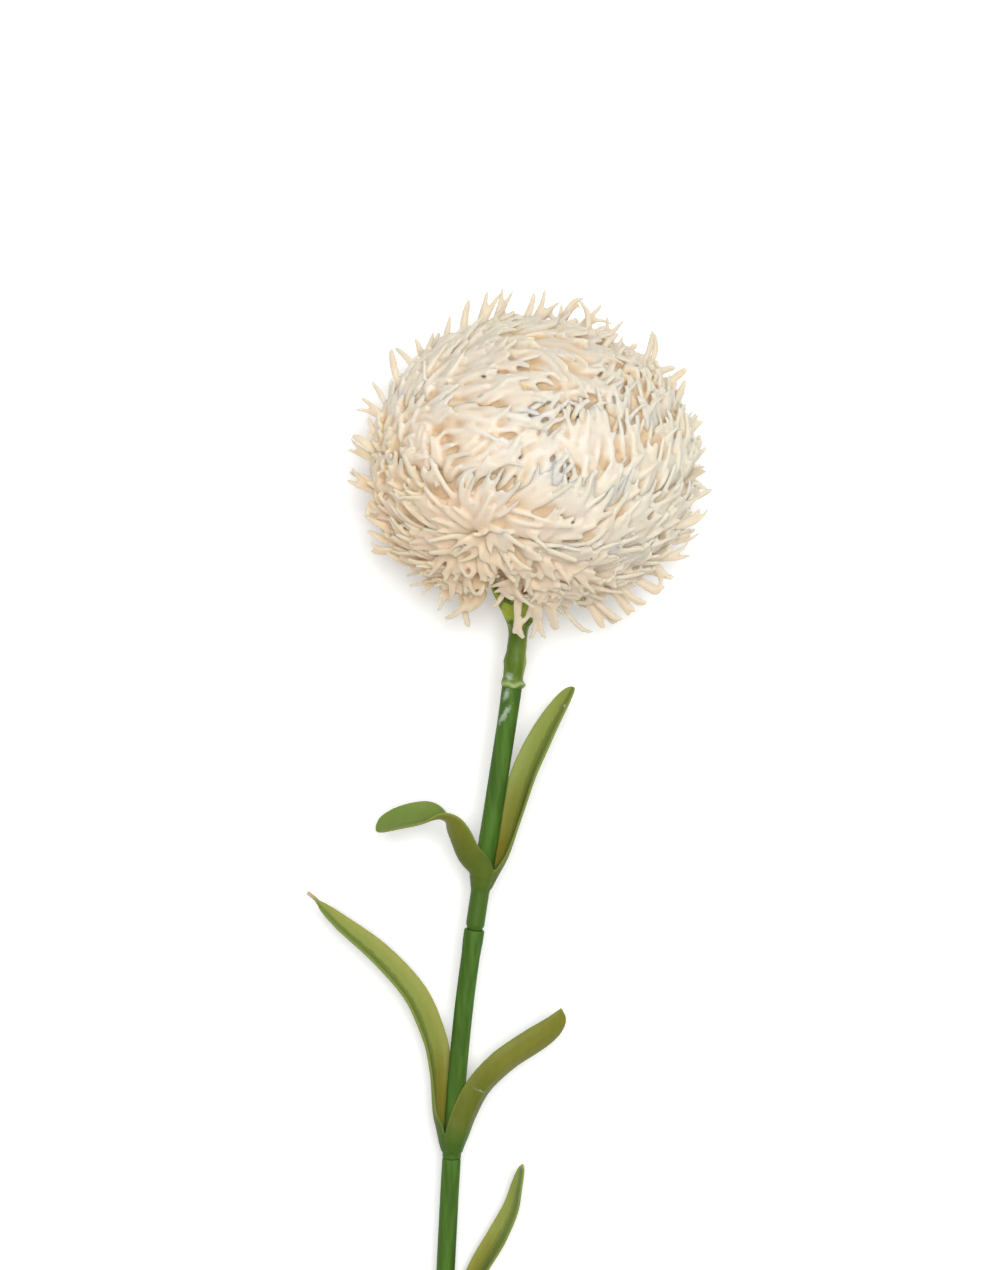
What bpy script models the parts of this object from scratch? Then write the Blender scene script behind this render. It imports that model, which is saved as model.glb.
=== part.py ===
"""Artificial pincushion flower on a cut stem, lying on a table as it would if put down.

A steel wire carries everything. Moulded tubes and moulded leaf pairs are threaded on it in turn, a
moulded calyx closes the top, and the cream flower head of forked petals sits in the calyx.

Metres, +Z up. +Y runs along the stem towards the head, +X is to the right seen from above, and the
table is Z = 0. The origin is under the middle of the object's box.
"""

import math
import random

import bmesh
import bpy
from mathutils import Matrix, Vector

MM = 0.001
GAP = 0.3 * MM  # left between two pieces that touch

# Stem: the route of its axis over the table, as (x, y), and the height it climbs to the head.
STEM_ROUTE = [
    (-17.6 * MM, -182 * MM),
    (-15.8 * MM, -135 * MM),
    (-13.7 * MM, -92 * MM),
    (-11.9 * MM, -60 * MM),
    (-9.4 * MM, -30 * MM),
    (-5.3 * MM, 0 * MM),
    (-0.2 * MM, 32 * MM),
    (4.3 * MM, 65 * MM),
    (7.6 * MM, 120 * MM),
]
FOOT_Y = -178 * MM
STEM_CLIMB = 0.1237  # rise of the axis for each metre towards the head
STEM_SIDES = 12
RING_SPACING = 18 * MM

# Wire: bare for a little at its cut end, and it ends inside the head.
WIRE_RADIUS = 0.9 * MM
WIRE_BARE_END = 1.0 * MM
WIRE_SIDES = 8
BORE_RADIUS = WIRE_RADIUS + GAP

# Tubes. The one below the upper leaf pair widens into a socket at its top.
TUBE_RADIUS = 2.3 * MM
UPPER_TUBE_RADIUS = 2.4 * MM
SOCKET_RADIUS = 2.55 * MM
SOCKET_LENGTH = 5.0 * MM
BEVEL = 0.5 * MM

# Leaf pairs: where the tube above stands on each collar, and where the collar ends below.
UPPER_SEAT_Y, UPPER_COLLAR_END_Y = 5.5 * MM, -7.4 * MM
MIDDLE_SEAT_Y, MIDDLE_COLLAR_END_Y = -61.8 * MM, -65.8 * MM
LOWER_SEAT_Y, LOWER_COLLAR_END_Y = -110.8 * MM, -123.6 * MM
COLLAR_RADIUS = 2.35 * MM
COLLAR_FLARE_RADIUS = 3.6 * MM
COLLAR_FLARE_LENGTH = 3.5 * MM  # at most half the collar
LEAF_THICKNESS = 0.9 * MM
LEAF_ROOT_RADIUS = 2.5 * MM  # of the leaf's wrap, where it is sunk in the collar's wall
LEAF_WRAP_RADIUS = 3.7 * MM  # of the leaf's wrap, where it passes the tube above
LEAF_WRAP_ANGLE = math.radians(78)  # of the wrap to either side of the leaf's middle
LEAF_ROOT_DEPTH = 1.8 * MM
LEAF_WRAP_HEIGHT = 1.6 * MM
LEAF_TIP_HALF_WIDTH = 0.4 * MM
LEAF_ARC_PARTS = 4
LEAF_ROW_PARTS = 2

# Leaves. root_turn is the place of the root round the stem in degrees, 0 right and 90 up from the
# table. curl_radius is the radius of the channel along the leaf, and tip_power is larger for a blunter
# tip. The spine lists points as (right, along, up) from the seat in millimetres, each with the
# direction that the upper face looks in there.
UPPER_LEFT_LEAF = {
    "root_turn": 122,
    "curl_radius": 6.0 * MM,
    "half_width": 4.5 * MM,
    "tip_power": 7.0,
    "spine": [
        ((-4.5, 6.0, 5.0), (0.55, 0.25, -0.8)),
        ((-6.7, 10.9, 6.4), (0.55, 0.55, -0.62)),
        ((-9.9, 14.3, 6.9), (0.35, 0.9, -0.15)),
        ((-14.2, 15.6, 6.2), (0.1, 0.75, 0.65)),
        ((-20.4, 14.9, 4.8), (0.0, 0.6, 0.8)),
        ((-26.6, 13.2, 3.0), (-0.1, 0.6, 0.8)),
    ],
}
UPPER_RIGHT_LEAF = {
    "root_turn": -28,
    "curl_radius": 5.5 * MM,
    "half_width": 4.0 * MM,
    "tip_power": 5.0,
    "spine": [
        ((5.0, 7.2, -0.9), (-0.8, 0.1, 0.6)),
        ((7.6, 17.2, 0.0), (-0.6, 0.1, 0.8)),
        ((10.6, 26.3, 0.8), (-0.55, 0.1, 0.83)),
        ((14.5, 35.4, 1.4), (-0.55, 0.1, 0.83)),
        ((19.0, 43.6, 1.6), (-0.6, 0.2, 0.75)),
        ((22.2, 47.8, 1.4), (-0.6, 0.3, 0.7)),
    ],
}
MIDDLE_LEFT_LEAF = {
    "root_turn": 205,
    "curl_radius": 5.0 * MM,
    "half_width": 4.0 * MM,
    "tip_power": 2.4,
    "spine": [
        ((-3.7, 7.4, -2.2), (0.8, 0.0, 0.6)),
        ((-4.1, 18.8, -1.9), (0.65, 0.1, 0.75)),
        ((-6.0, 27.4, -1.1), (0.6, 0.2, 0.75)),
        ((-10.4, 37.2, 0.0), (0.5, 0.35, 0.78)),
        ((-19.2, 46.8, 1.4), (0.4, 0.45, 0.8)),
        ((-28.8, 54.9, 2.4), (0.35, 0.5, 0.8)),
        ((-36.6, 63.0, 3.2), (0.35, 0.5, 0.8)),
    ],
}
MIDDLE_RIGHT_LEAF = {
    "root_turn": 48,
    "curl_radius": 5.5 * MM,
    "half_width": 3.4 * MM,
    "tip_power": 6.0,
    "spine": [
        ((4.2, 6.6, 3.4), (-0.65, 0.15, -0.74)),
        ((7.6, 13.8, 4.4), (-0.6, 0.3, -0.72)),
        ((13.0, 20.0, 5.2), (-0.45, 0.55, -0.7)),
        ((20.0, 25.1, 5.6), (-0.35, 0.6, -0.7)),
        ((25.4, 29.2, 6.0), (-0.4, 0.5, -0.75)),
        ((27.4, 33.2, 6.4), (-0.5, 0.4, -0.75)),
    ],
}
LOWER_LEFT_LEAF = {
    "root_turn": 122,
    "curl_radius": 6.0 * MM,
    "half_width": 3.6 * MM,
    "tip_power": 5.0,
    "spine": [
        ((-3.8, 6.4, 4.8), (0.6, 0.2, -0.8)),
        ((-7.0, 10.8, 6.2), (0.6, 0.55, -0.6)),
        ((-12.0, 13.6, 6.8), (0.4, 0.9, -0.15)),
        ((-18.0, 14.2, 6.4), (0.1, 0.85, 0.5)),
        ((-25.0, 13.0, 5.2), (0.0, 0.8, 0.6)),
        ((-32.0, 10.6, 3.6), (-0.1, 0.75, 0.65)),
    ],
}
LOWER_RIGHT_LEAF = {
    "root_turn": -28,
    "curl_radius": 4.6 * MM,
    "half_width": 3.4 * MM,
    "tip_power": 3.4,
    "spine": [
        ((5.2, 6.6, -1.0), (-0.8, 0.1, 0.6)),
        ((10.2, 16.6, -0.4), (-0.65, 0.25, 0.75)),
        ((14.6, 24.4, 0.4), (-0.65, 0.2, 0.75)),
        ((17.8, 31.4, 1.2), (-0.75, 0.1, 0.65)),
        ((19.2, 38.1, 2.0), (-0.85, 0.1, 0.55)),
        ((19.8, 42.9, 2.6), (-0.85, 0.1, 0.5)),
    ],
}

# Calyx: neck, cup and sepals. The profile of neck and cup is (y, outer radius) up the stem's axis.
CALYX_END_Y = 54 * MM
CALYX_PROFILE = [
    (54.0 * MM, 2.5 * MM),
    (54.5 * MM, 2.85 * MM),
    (55.3 * MM, 2.8 * MM),
    (56.2 * MM, 2.35 * MM),
    (59.5 * MM, 2.7 * MM),
    (62.5 * MM, 2.4 * MM),
    (66.5 * MM, 2.35 * MM),
    (69.0 * MM, 2.9 * MM),
    (72.0 * MM, 4.2 * MM),
    (76.5 * MM, 6.7 * MM),
]
CUP_FLOOR_Y = 69.6 * MM
CUP_RIM_INNER_RADIUS = 5.8 * MM
SEPAL_COUNT = 6
SEPAL_LENGTH = 8.5 * MM  # above the cup's rim
SEPAL_ROOT = 2.2 * MM  # how far the sepal starts below the rim, inside the cup's wall
SEPAL_WIDTH = 5.2 * MM
SEPAL_THICKNESS = 0.8 * MM
SEPAL_OUTLINE = [(0.0, 0.55), (0.45, 1.0), (0.8, 0.6), (1.0, 0.12)]  # shares of length and of width

# Flower head, in its own frame: +Z is its pole, away from the stem, +X its right and -Y its front,
# which looks up from the table. Heights count from the head's centre.
HEAD_CENTRE_Y = 108.5 * MM
HEAD_REACH = Vector((45.5 * MM, 43.5 * MM, 44.5 * MM))  # half axes of the ball that holds the tips
CORE_RADIUS = 29 * MM
CORE_HALF_HEIGHT = 25 * MM
CORE_SIDES = 20
CORE_LATITUDES = [math.radians(angle) for angle in (-56, -34, -12, 10, 32, 56, 78)]
STUB_PROFILE = [(-37.0 * MM, 1.9 * MM), (-32.3 * MM, 5.0 * MM), (-25.5 * MM, 8.0 * MM)]
WIRE_END_HEIGHT = -28 * MM
GOLDEN_ANGLE = math.pi * (3 - math.sqrt(5))

# Petals. Those of the skirt, round the calyx, are longer and straighter than the rest.
PETAL_COUNT = 206
PETAL_LENGTH = 23 * MM
PETAL_LENGTH_RANGE = (0.9, 1.06)
PETAL_BEND = math.radians(72)
PETAL_BEND_RANGE = (0.65, 1.15)
PETAL_JITTER = 0.3
LOWEST_PETAL_ANGLE = math.radians(120)  # from the pole
SKIRT_COUNT = 54
SKIRT_LENGTH = 26 * MM
SKIRT_LENGTH_RANGE = (0.8, 1.0)
SKIRT_BEND = math.radians(35)
SKIRT_JITTER = 0.25
LOWEST_SKIRT_ANGLE = math.radians(160)
LARGEST_ROLL = 0.5  # radians
PETAL_WIDTH = 3.2 * MM
PETAL_THICKNESS = 0.9 * MM
PETAL_OUTLINE = [(0.0, 0.7), (0.42, 0.95), (0.64, 1.2)]  # shares of length and of width, up to the fork
PRONG_END_RANGE = (0.88, 1.0)  # share of the petal's length
PRONG_SPREAD = 0.85  # how far a prong's tip leaves the petal's middle line, in petal widths
PETAL_ROOT_SHARE = 0.88  # of the core's radius, so that the root is sunk in it

# How the petals are combed: a place on the head, and the way in which the petals there bend.
COMBING = [
    ((0.0, 0.0, 1.0), (0.5, 0.1, 0.2)),
    ((0.0, -0.8, 0.6), (1.0, 0.0, 0.1)),
    ((0.5, -0.85, 0.0), (0.1, 0.0, 1.0)),
    ((-0.5, -0.85, 0.1), (-0.6, -0.1, 0.6)),
    ((-1.0, 0.0, 0.0), (-0.3, -0.2, 0.9)),
    ((1.0, 0.0, 0.1), (0.1, -0.1, 0.9)),
    ((0.1, -0.85, -0.5), (0.3, 0.1, -0.4)),
    ((0.65, -0.5, -0.6), (1.0, 0.1, 0.2)),
    ((-0.65, -0.5, -0.6), (-1.0, 0.1, 0.2)),
    ((0.0, 0.7, -0.6), (0.0, 1.0, 0.2)),
    ((0.3, 0.85, 0.1), (0.5, 0.1, 0.8)),
    ((-0.3, 0.85, 0.4), (-0.2, 0.1, 1.0)),
]


def stem_slope(i):
    """Sideways slope of the stem's route at its knot i."""
    before = STEM_ROUTE[max(i - 1, 0)]
    after = STEM_ROUTE[min(i + 1, len(STEM_ROUTE) - 1)]
    return (after[0] - before[0]) / (after[1] - before[1])


def stem_height(y):
    foot = TUBE_RADIUS * math.cos(math.atan(STEM_CLIMB))
    return foot + STEM_CLIMB * (y - FOOT_Y)


def stem_point(y):
    """Point of the stem's axis at y, on a smooth curve through the route's knots."""
    i = 0
    while i < len(STEM_ROUTE) - 2 and y > STEM_ROUTE[i + 1][1]:
        i += 1
    (x0, y0), (x1, y1) = STEM_ROUTE[i], STEM_ROUTE[i + 1]
    span = y1 - y0
    t = (y - y0) / span
    x = (
        (2 * t**3 - 3 * t**2 + 1) * x0
        + (t**3 - 2 * t**2 + t) * span * stem_slope(i)
        + (3 * t**2 - 2 * t**3) * x1
        + (t**3 - t**2) * span * stem_slope(i + 1)
    )
    return Vector((x, y, stem_height(y)))


def stem_frame(y):
    """Centre, direction, right and up of the stem's section at y."""
    step = 0.5 * MM
    along = (stem_point(y + step) - stem_point(y - step)).normalized()
    right = along.cross(Vector((0, 0, 1))).normalized()
    return stem_point(y), along, right, right.cross(along)


def stem_ring(y, radius, sides=STEM_SIDES):
    """Points of a circle round the stem's axis, the first of them straight down."""
    centre, _, right, up = stem_frame(y)
    turns = [2 * math.pi * i / sides for i in range(sides)]
    return [centre - radius * (math.sin(a) * right + math.cos(a) * up) for a in turns]


def make_material(name, colour, roughness, metallic=0.0):
    material = bpy.data.materials.new(name)
    material.use_nodes = True
    shader = material.node_tree.nodes["Principled BSDF"]
    shader.inputs["Base Color"].default_value = (*colour, 1)
    shader.inputs["Roughness"].default_value = roughness
    shader.inputs["Metallic"].default_value = metallic
    return material


def make_object(name, points, faces, material):
    mesh = bpy.data.meshes.new(name)
    mesh.from_pydata(points, [], faces)
    mesh.materials.append(material)
    mesh.shade_smooth()
    mesh.set_sharp_from_angle(angle=math.radians(40))
    mesh.update()
    made = bpy.data.objects.new(name, mesh)
    bpy.context.scene.collection.objects.link(made)
    return made


def band(first, second, count):
    """Quads between two closed rings of count points, given the index of each ring's first point."""
    following = [(i + 1) % count for i in range(count)]
    return [(first + i, first + following[i], second + following[i], second + i) for i in range(count)]


def rod(rings):
    """Points and faces of a solid through rings of equal size, which run from foot to top."""
    sides = len(rings[0])
    points = [point for ring in rings for point in ring]
    faces = [quad for i in range(len(rings) - 1) for quad in band(i * sides, (i + 1) * sides, sides)]
    last = (len(rings) - 1) * sides
    faces.append(tuple(reversed(range(sides))))
    faces.append(tuple(range(last, last + sides)))
    return points, faces


def hollow(outer_rings, inner_rings):
    """Points and faces of a tube. Both lists of rings run from foot to top and have equal sides."""
    sides = len(outer_rings[0])
    loop = outer_rings + inner_rings[::-1]
    points = [point for ring in loop for point in ring]
    starts = [i * sides for i in range(len(loop))]
    faces = []
    for here, there in zip(starts, starts[1:] + starts[:1]):
        faces += band(here, there, sides)
    return points, faces


def fuse(base, others, solver="EXACT"):
    """Joins the other objects into base with one Boolean union, and removes them."""
    group = bpy.data.collections.new("to_join")
    bpy.context.scene.collection.children.link(group)
    for other in others:
        bpy.context.scene.collection.objects.unlink(other)
        group.objects.link(other)
    union = base.modifiers.new("union", "BOOLEAN")
    union.operation = "UNION"
    union.operand_type = "COLLECTION"
    union.collection = group
    union.solver = solver
    bpy.context.view_layer.objects.active = base
    bpy.ops.object.modifier_apply(modifier=union.name)
    for other in others:
        bpy.data.objects.remove(other)
    bpy.data.collections.remove(group)


def drop_scraps(obj):
    """Keeps the largest of the object's separate surfaces: no scrap, and no hollow sealed inside."""
    mesh = bmesh.new()
    mesh.from_mesh(obj.data)
    unseen = set(mesh.verts)
    surfaces = []
    while unseen:
        waiting = [unseen.pop()]
        found = set(waiting)
        while waiting:
            here = waiting.pop()
            fresh = {edge.other_vert(here) for edge in here.link_edges} - found
            found |= fresh
            waiting += fresh
        unseen -= found
        surfaces.append(found)
    largest = max(surfaces, key=len)
    scraps = [vert for vert in mesh.verts if vert not in largest]
    bmesh.ops.delete(mesh, geom=scraps, context="VERTS")
    mesh.to_mesh(obj.data)
    mesh.free()


def cut(base, cutter):
    """Takes the cutter's shape out of base, and removes the cutter."""
    difference = base.modifiers.new("cut", "BOOLEAN")
    difference.operation = "DIFFERENCE"
    difference.object = cutter
    difference.solver = "MANIFOLD"
    bpy.context.view_layer.objects.active = base
    bpy.ops.object.modifier_apply(modifier=difference.name)
    bpy.data.objects.remove(cutter)


def steps(low, high, spacing=RING_SPACING):
    """Even values from low to high, at most spacing apart."""
    count = max(1, math.ceil((high - low) / spacing))
    return [low + (high - low) * i / count for i in range(count + 1)]


def build_wire(material):
    rows = steps(FOOT_Y - WIRE_BARE_END, HEAD_CENTRE_Y + WIRE_END_HEIGHT, 16 * MM)
    make_object("stem_wire", *rod([stem_ring(y, WIRE_RADIUS, WIRE_SIDES) for y in rows]), material)


def sleeve(name, rows, material):
    """Object with a bore for the wire and the outer radius given by (y, radius) rows."""
    outer = [stem_ring(y, radius) for y, radius in rows]
    inner = [stem_ring(y, BORE_RADIUS) for y, _ in rows]
    return make_object(name, *hollow(outer, inner), material)


def build_tube(name, low, high, radius, material, top_radius=None):
    """Tube threaded on the wire. A top_radius widens its upper end into a socket."""
    rows = [(low, radius - BEVEL / 2)]
    if top_radius:
        rows += [(y, radius) for y in steps(low + BEVEL, high - 2 * SOCKET_LENGTH)]
        rows += [(high - SOCKET_LENGTH, top_radius), (high - BEVEL, top_radius)]
    else:
        rows += [(y, radius) for y in steps(low + BEVEL, high - BEVEL)]
    rows.append((high, (top_radius or radius) - BEVEL / 2))
    sleeve(name, rows, material)


def build_collar(name, low, seat, material):
    """Collar of a leaf pair: a sleeve on the wire that flares up to the seat of the tube above."""
    flare = min(COLLAR_FLARE_LENGTH, (seat - low) / 2)
    rows = [
        (low, COLLAR_RADIUS - BEVEL),
        (low + BEVEL, COLLAR_RADIUS),
        (seat - flare, COLLAR_RADIUS),
        (seat, COLLAR_FLARE_RADIUS),
    ]
    return sleeve(name, rows, material)


def smooth_rows(rows, parts):
    """Rows of vectors and numbers, with parts - 1 more on a smooth curve between each two."""
    made = [rows[0]]
    for i in range(len(rows) - 1):
        four = [rows[max(i - 1, 0)], rows[i], rows[i + 1], rows[min(i + 2, len(rows) - 1)]]
        for part in range(1, parts + 1):
            t = part / parts
            a = (-t + 2 * t**2 - t**3) / 2
            b = (2 - 5 * t**2 + 3 * t**3) / 2
            c = (t + 4 * t**2 - 3 * t**3) / 2
            d = (t**3 - t**2) / 2
            made.append([a * p + b * q + c * r + d * s for p, q, r, s in zip(*four)])
    return made


def leaf_rows(seat, leaf):
    """Rows of (middle point, upper face's direction, curl, half width) from the root to the tip.

    The leaf starts in the collar's wall and wraps the tube above, then follows its spine.
    """
    centre, along, right, up = stem_frame(seat)
    turn = math.radians(leaf["root_turn"])
    outward = math.cos(turn) * right + math.sin(turn) * up
    rows = []
    for height, radius in ((-LEAF_ROOT_DEPTH, LEAF_ROOT_RADIUS), (LEAF_WRAP_HEIGHT, LEAF_WRAP_RADIUS)):
        middle = centre + height * along + radius * outward
        rows.append([middle, -outward, 1 / radius, LEAF_WRAP_ANGLE * radius])
    spine = leaf["spine"]
    for i, (offset, face) in enumerate(spine):
        share = (i + 1) / len(spine)
        width = leaf["half_width"] * (1 - share ** leaf["tip_power"]) ** 0.7
        unrolled = min(1, 2 * share)  # the wrap turns into the leaf's own channel by its middle
        radius = LEAF_WRAP_RADIUS + (leaf["curl_radius"] - LEAF_WRAP_RADIUS) * unrolled
        middle = centre + MM * Vector(offset)
        rows.append([middle, Vector(face), 1 / radius, max(width, LEAF_TIP_HALF_WIDTH)])
    return rows


def leaf_sections(rows):
    """Closed sections of a thick leaf, each a band curled towards the upper face."""
    sections = []
    for i, (middle, face, curl, half_width) in enumerate(rows):
        before, after = rows[max(i - 1, 0)][0], rows[min(i + 1, len(rows) - 1)][0]
        along = (after - before).normalized()
        face = (face - face.dot(along) * along).normalized()
        side = along.cross(face)
        pivot = middle + face / curl
        upper, lower = [], []
        for part in range(LEAF_ARC_PARTS + 1):
            turn = curl * half_width * (2 * part / LEAF_ARC_PARTS - 1)
            out = math.sin(turn) * side - math.cos(turn) * face
            upper.append(pivot + (1 / curl - LEAF_THICKNESS / 2) * out)
            lower.append(pivot + (1 / curl + LEAF_THICKNESS / 2) * out)
        sections.append(upper + lower[::-1])
    return sections


def build_leaf_pair(name, low, seat, leaves, material):
    """Moulding of a collar and the two leaves that spring from it on opposite sides."""
    collar = build_collar(name, low, seat, material)
    blades = []
    for number, leaf in enumerate(leaves):
        rows = smooth_rows(leaf_rows(seat, leaf), LEAF_ROW_PARTS)
        blades.append(make_object(f"{name}_blade_{number}", *rod(leaf_sections(rows)), material))
    fuse(collar, blades)


def sepal(number, material):
    """Pointed blade that goes on up the cup's slope from inside the cup's wall."""
    rim_y, rim_radius = CALYX_PROFILE[-1]
    below_y, below_radius = CALYX_PROFILE[-2]
    slope = (rim_radius - below_radius) / (rim_y - below_y)
    centre, along, right, up = stem_frame(rim_y)
    turn = 2 * math.pi * (number + 0.5) / SEPAL_COUNT
    outward = math.cos(turn) * right + math.sin(turn) * up
    side = along.cross(outward)
    rise = (along + slope * outward).normalized()
    thick = SEPAL_THICKNESS / 2 * rise.cross(side)
    root = centre + (rim_radius + CUP_RIM_INNER_RADIUS) / 2 * outward - SEPAL_ROOT * rise
    rings = []
    for share, width in SEPAL_OUTLINE:
        middle = root + share * (SEPAL_LENGTH + SEPAL_ROOT) * rise
        half = SEPAL_WIDTH / 2 * width * side
        left, right = middle - half, middle + half
        rings.append([left - thick, right - thick, right + thick, left + thick])
    return make_object(f"sepal_{number}", *rod(rings), material)


def build_calyx(material):
    rim_y = CALYX_PROFILE[-1][0]
    outer, inner = [], []
    for y, radius in CALYX_PROFILE:
        share = max(0, (y - CUP_FLOOR_Y) / (rim_y - CUP_FLOOR_Y))
        outer.append(stem_ring(y, radius))
        inner.append(stem_ring(y, BORE_RADIUS + share * (CUP_RIM_INNER_RADIUS - BORE_RADIUS)))
    calyx = make_object("calyx", *hollow(outer, inner), material)
    fuse(calyx, [sepal(number, material) for number in range(SEPAL_COUNT)])


def head_matrix():
    """Places the head's frame: its centre on the stem's axis, its pole along it, its front up."""
    centre, pole, right, up = stem_frame(HEAD_CENTRE_Y)
    turned = Matrix((right, -up, pole)).transposed().to_4x4()
    return Matrix.Translation(centre) @ turned


def head_ring(height, radius):
    turns = [2 * math.pi * i / CORE_SIDES for i in range(CORE_SIDES)]
    return [Vector((radius * math.cos(a), radius * math.sin(a), height)) for a in turns]


def build_core(material):
    """Round core of the head with the tapered stub below it that sits in the calyx's cup."""
    rows = list(STUB_PROFILE)
    rows += [(CORE_HALF_HEIGHT * math.sin(a), CORE_RADIUS * math.cos(a)) for a in CORE_LATITUDES]
    return make_object("flower_head", *rod([head_ring(height, radius) for height, radius in rows]), material)


def petal_faces():
    """Faces of a forked petal whose points are listed by petal_points."""
    root_to_middle = [(0, 1, 5, 4), (1, 2, 6, 5), (2, 3, 7, 6), (3, 0, 4, 7)]
    middle_to_fork = [(4, 5, 10, 9, 8), (5, 6, 11, 10), (6, 7, 13, 12, 11), (7, 4, 8, 13)]
    left_prong = [(8, 9, 14), (9, 12, 14), (12, 13, 14), (13, 8, 14)]
    right_prong = [(9, 10, 15), (10, 11, 15), (11, 12, 15), (12, 9, 15)]
    return [(3, 2, 1, 0)] + root_to_middle + middle_to_fork + left_prong + right_prong


def within_reach(point):
    """The point, drawn in towards the head's centre where it lies beyond the head's reach."""
    beyond = Vector([value / reach for value, reach in zip(point, HEAD_REACH)]).length
    return point / max(1, beyond)


def petal_points(root, start, towards, length, bend, roll, dice):
    """Points of a petal that leaves root along start and bends towards another direction.

    Four corners at the root, four at the middle, six where it forks, then the tips of two prongs.
    Returns the points with the share of the petal's length at each.
    """
    towards = (towards - towards.dot(start) * start).normalized()
    across = start.cross(towards)

    def station(share):
        """Middle point, direction across the petal and direction of its upper face."""
        turn = bend * share
        middle = root + length / bend * (math.sin(turn) * start + (1 - math.cos(turn)) * towards)
        along = math.cos(turn) * start + math.sin(turn) * towards
        spin = Matrix.Rotation(roll * (0.4 + 0.6 * share), 3, along)
        return middle, spin @ across, spin @ along.cross(across)

    points = []
    shares = []
    fork_share = PETAL_OUTLINE[-1][0]
    for share, width in PETAL_OUTLINE:
        middle, side, face = station(share)
        half = PETAL_WIDTH / 2 * width * side
        thick = PETAL_THICKNESS / 2 * face
        across_it = [middle - half, middle + half]
        if share == fork_share:
            across_it.insert(1, middle)
        corners = [place - thick for place in across_it] + [place + thick for place in across_it[::-1]]
        points += corners
        shares += [share] * len(corners)
    for sign in (-1, 1):
        share = dice.uniform(*PRONG_END_RANGE)
        middle, side, _ = station(share)
        points.append(within_reach(middle + sign * PRONG_SPREAD * PETAL_WIDTH * side))
        shares.append(share)
    return points, shares


def press_on_table(points, shares):
    """Bends a petal up from the table: its lowest point just touches, and its root stays."""
    lifts = [-point.z / share**2 for point, share in zip(points, shares) if share > 0]
    lift = max(0, *lifts)
    return [point + Vector((0, 0, lift * share**2)) for point, share in zip(points, shares)]


def petal_directions(count, first_angle, last_angle):
    """Unit vectors spread evenly between two angles from the pole, on a golden spiral."""
    made = []
    for i in range(count):
        share = (i + 0.5) / count
        height = math.cos(first_angle) * (1 - share) + math.cos(last_angle) * share
        radius = math.sqrt(1 - height**2)
        turn = i * GOLDEN_ANGLE
        made.append(Vector((radius * math.cos(turn), radius * math.sin(turn), height)))
    return made


def combed(normal):
    """Direction in which the petals at this place on the head bend, blended from the nearest ones."""
    total = Vector((0, 0, 0))
    for place, flow in COMBING:
        apart = (normal - Vector(place).normalized()).length
        total += Vector(flow).normalized() / (apart**4 + 0.01)
    return total.normalized()


def core_point(normal):
    """Place of a petal's root, a little under the core's surface."""
    surface = Vector((CORE_RADIUS * normal.x, CORE_RADIUS * normal.y, CORE_HALF_HEIGHT * normal.z))
    return PETAL_ROOT_SHARE * surface


def jittered(size, dice):
    return Vector([dice.uniform(-size, size) for _ in range(3)])


def head_petals(dice):
    """(root, start, towards, length, bend, roll) of each petal, in the head's frame."""
    petals = []
    for normal in petal_directions(PETAL_COUNT, 0, LOWEST_PETAL_ANGLE):
        flow = combed(normal)
        jitter = jittered(PETAL_JITTER, dice)
        start = (normal - 0.25 * flow + 0.5 * jitter).normalized()
        length = PETAL_LENGTH * dice.uniform(*PETAL_LENGTH_RANGE)
        bend = PETAL_BEND * dice.uniform(*PETAL_BEND_RANGE)
        roll = dice.uniform(-LARGEST_ROLL, LARGEST_ROLL)
        petals.append((core_point(normal), start, flow + jitter, length, bend, roll))
    for normal in petal_directions(SKIRT_COUNT, LOWEST_PETAL_ANGLE, LOWEST_SKIRT_ANGLE):
        outward = Vector((normal.x, normal.y, 0)).normalized()
        jitter = jittered(SKIRT_JITTER, dice)
        start = (normal + Vector((0, 0, -0.15)) + jitter).normalized()
        length = SKIRT_LENGTH * dice.uniform(*SKIRT_LENGTH_RANGE)
        roll = dice.uniform(-LARGEST_ROLL, LARGEST_ROLL)
        petals.append((core_point(normal), start, outward + jitter, length, SKIRT_BEND, roll))
    return petals


def build_head(material):
    placed = head_matrix()
    head = build_core(material)
    head.data.transform(placed)
    dice = random.Random(11)
    blades = []
    for number, petal in enumerate(head_petals(dice)):
        points, shares = petal_points(*petal, dice)
        points = press_on_table([placed @ point for point in points], shares)
        blades.append(make_object(f"petal_{number}", points, petal_faces(), material))
    fuse(head, blades, "MANIFOLD")
    drop_scraps(head)
    bottom = HEAD_CENTRE_Y + STUB_PROFILE[0][0] - 2 * MM
    top = HEAD_CENTRE_Y + WIRE_END_HEIGHT + GAP
    socket = [stem_ring(y, BORE_RADIUS, WIRE_SIDES) for y in steps(bottom, top)]
    cut(head, make_object("wire_socket", *rod(socket), material))


def centre_on_origin():
    """Puts the middle of the object's box over the origin by moving the empty that carries it."""
    carrier = bpy.data.objects.new("laid_flower", None)
    bpy.context.scene.collection.objects.link(carrier)
    pieces = [obj for obj in bpy.data.objects if obj.type == "MESH"]
    for piece in pieces:
        piece.parent = carrier
    for axis in (0, 1):
        values = [vertex.co[axis] for piece in pieces for vertex in piece.data.vertices]
        carrier.location[axis] = -(min(values) + max(values)) / 2


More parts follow.
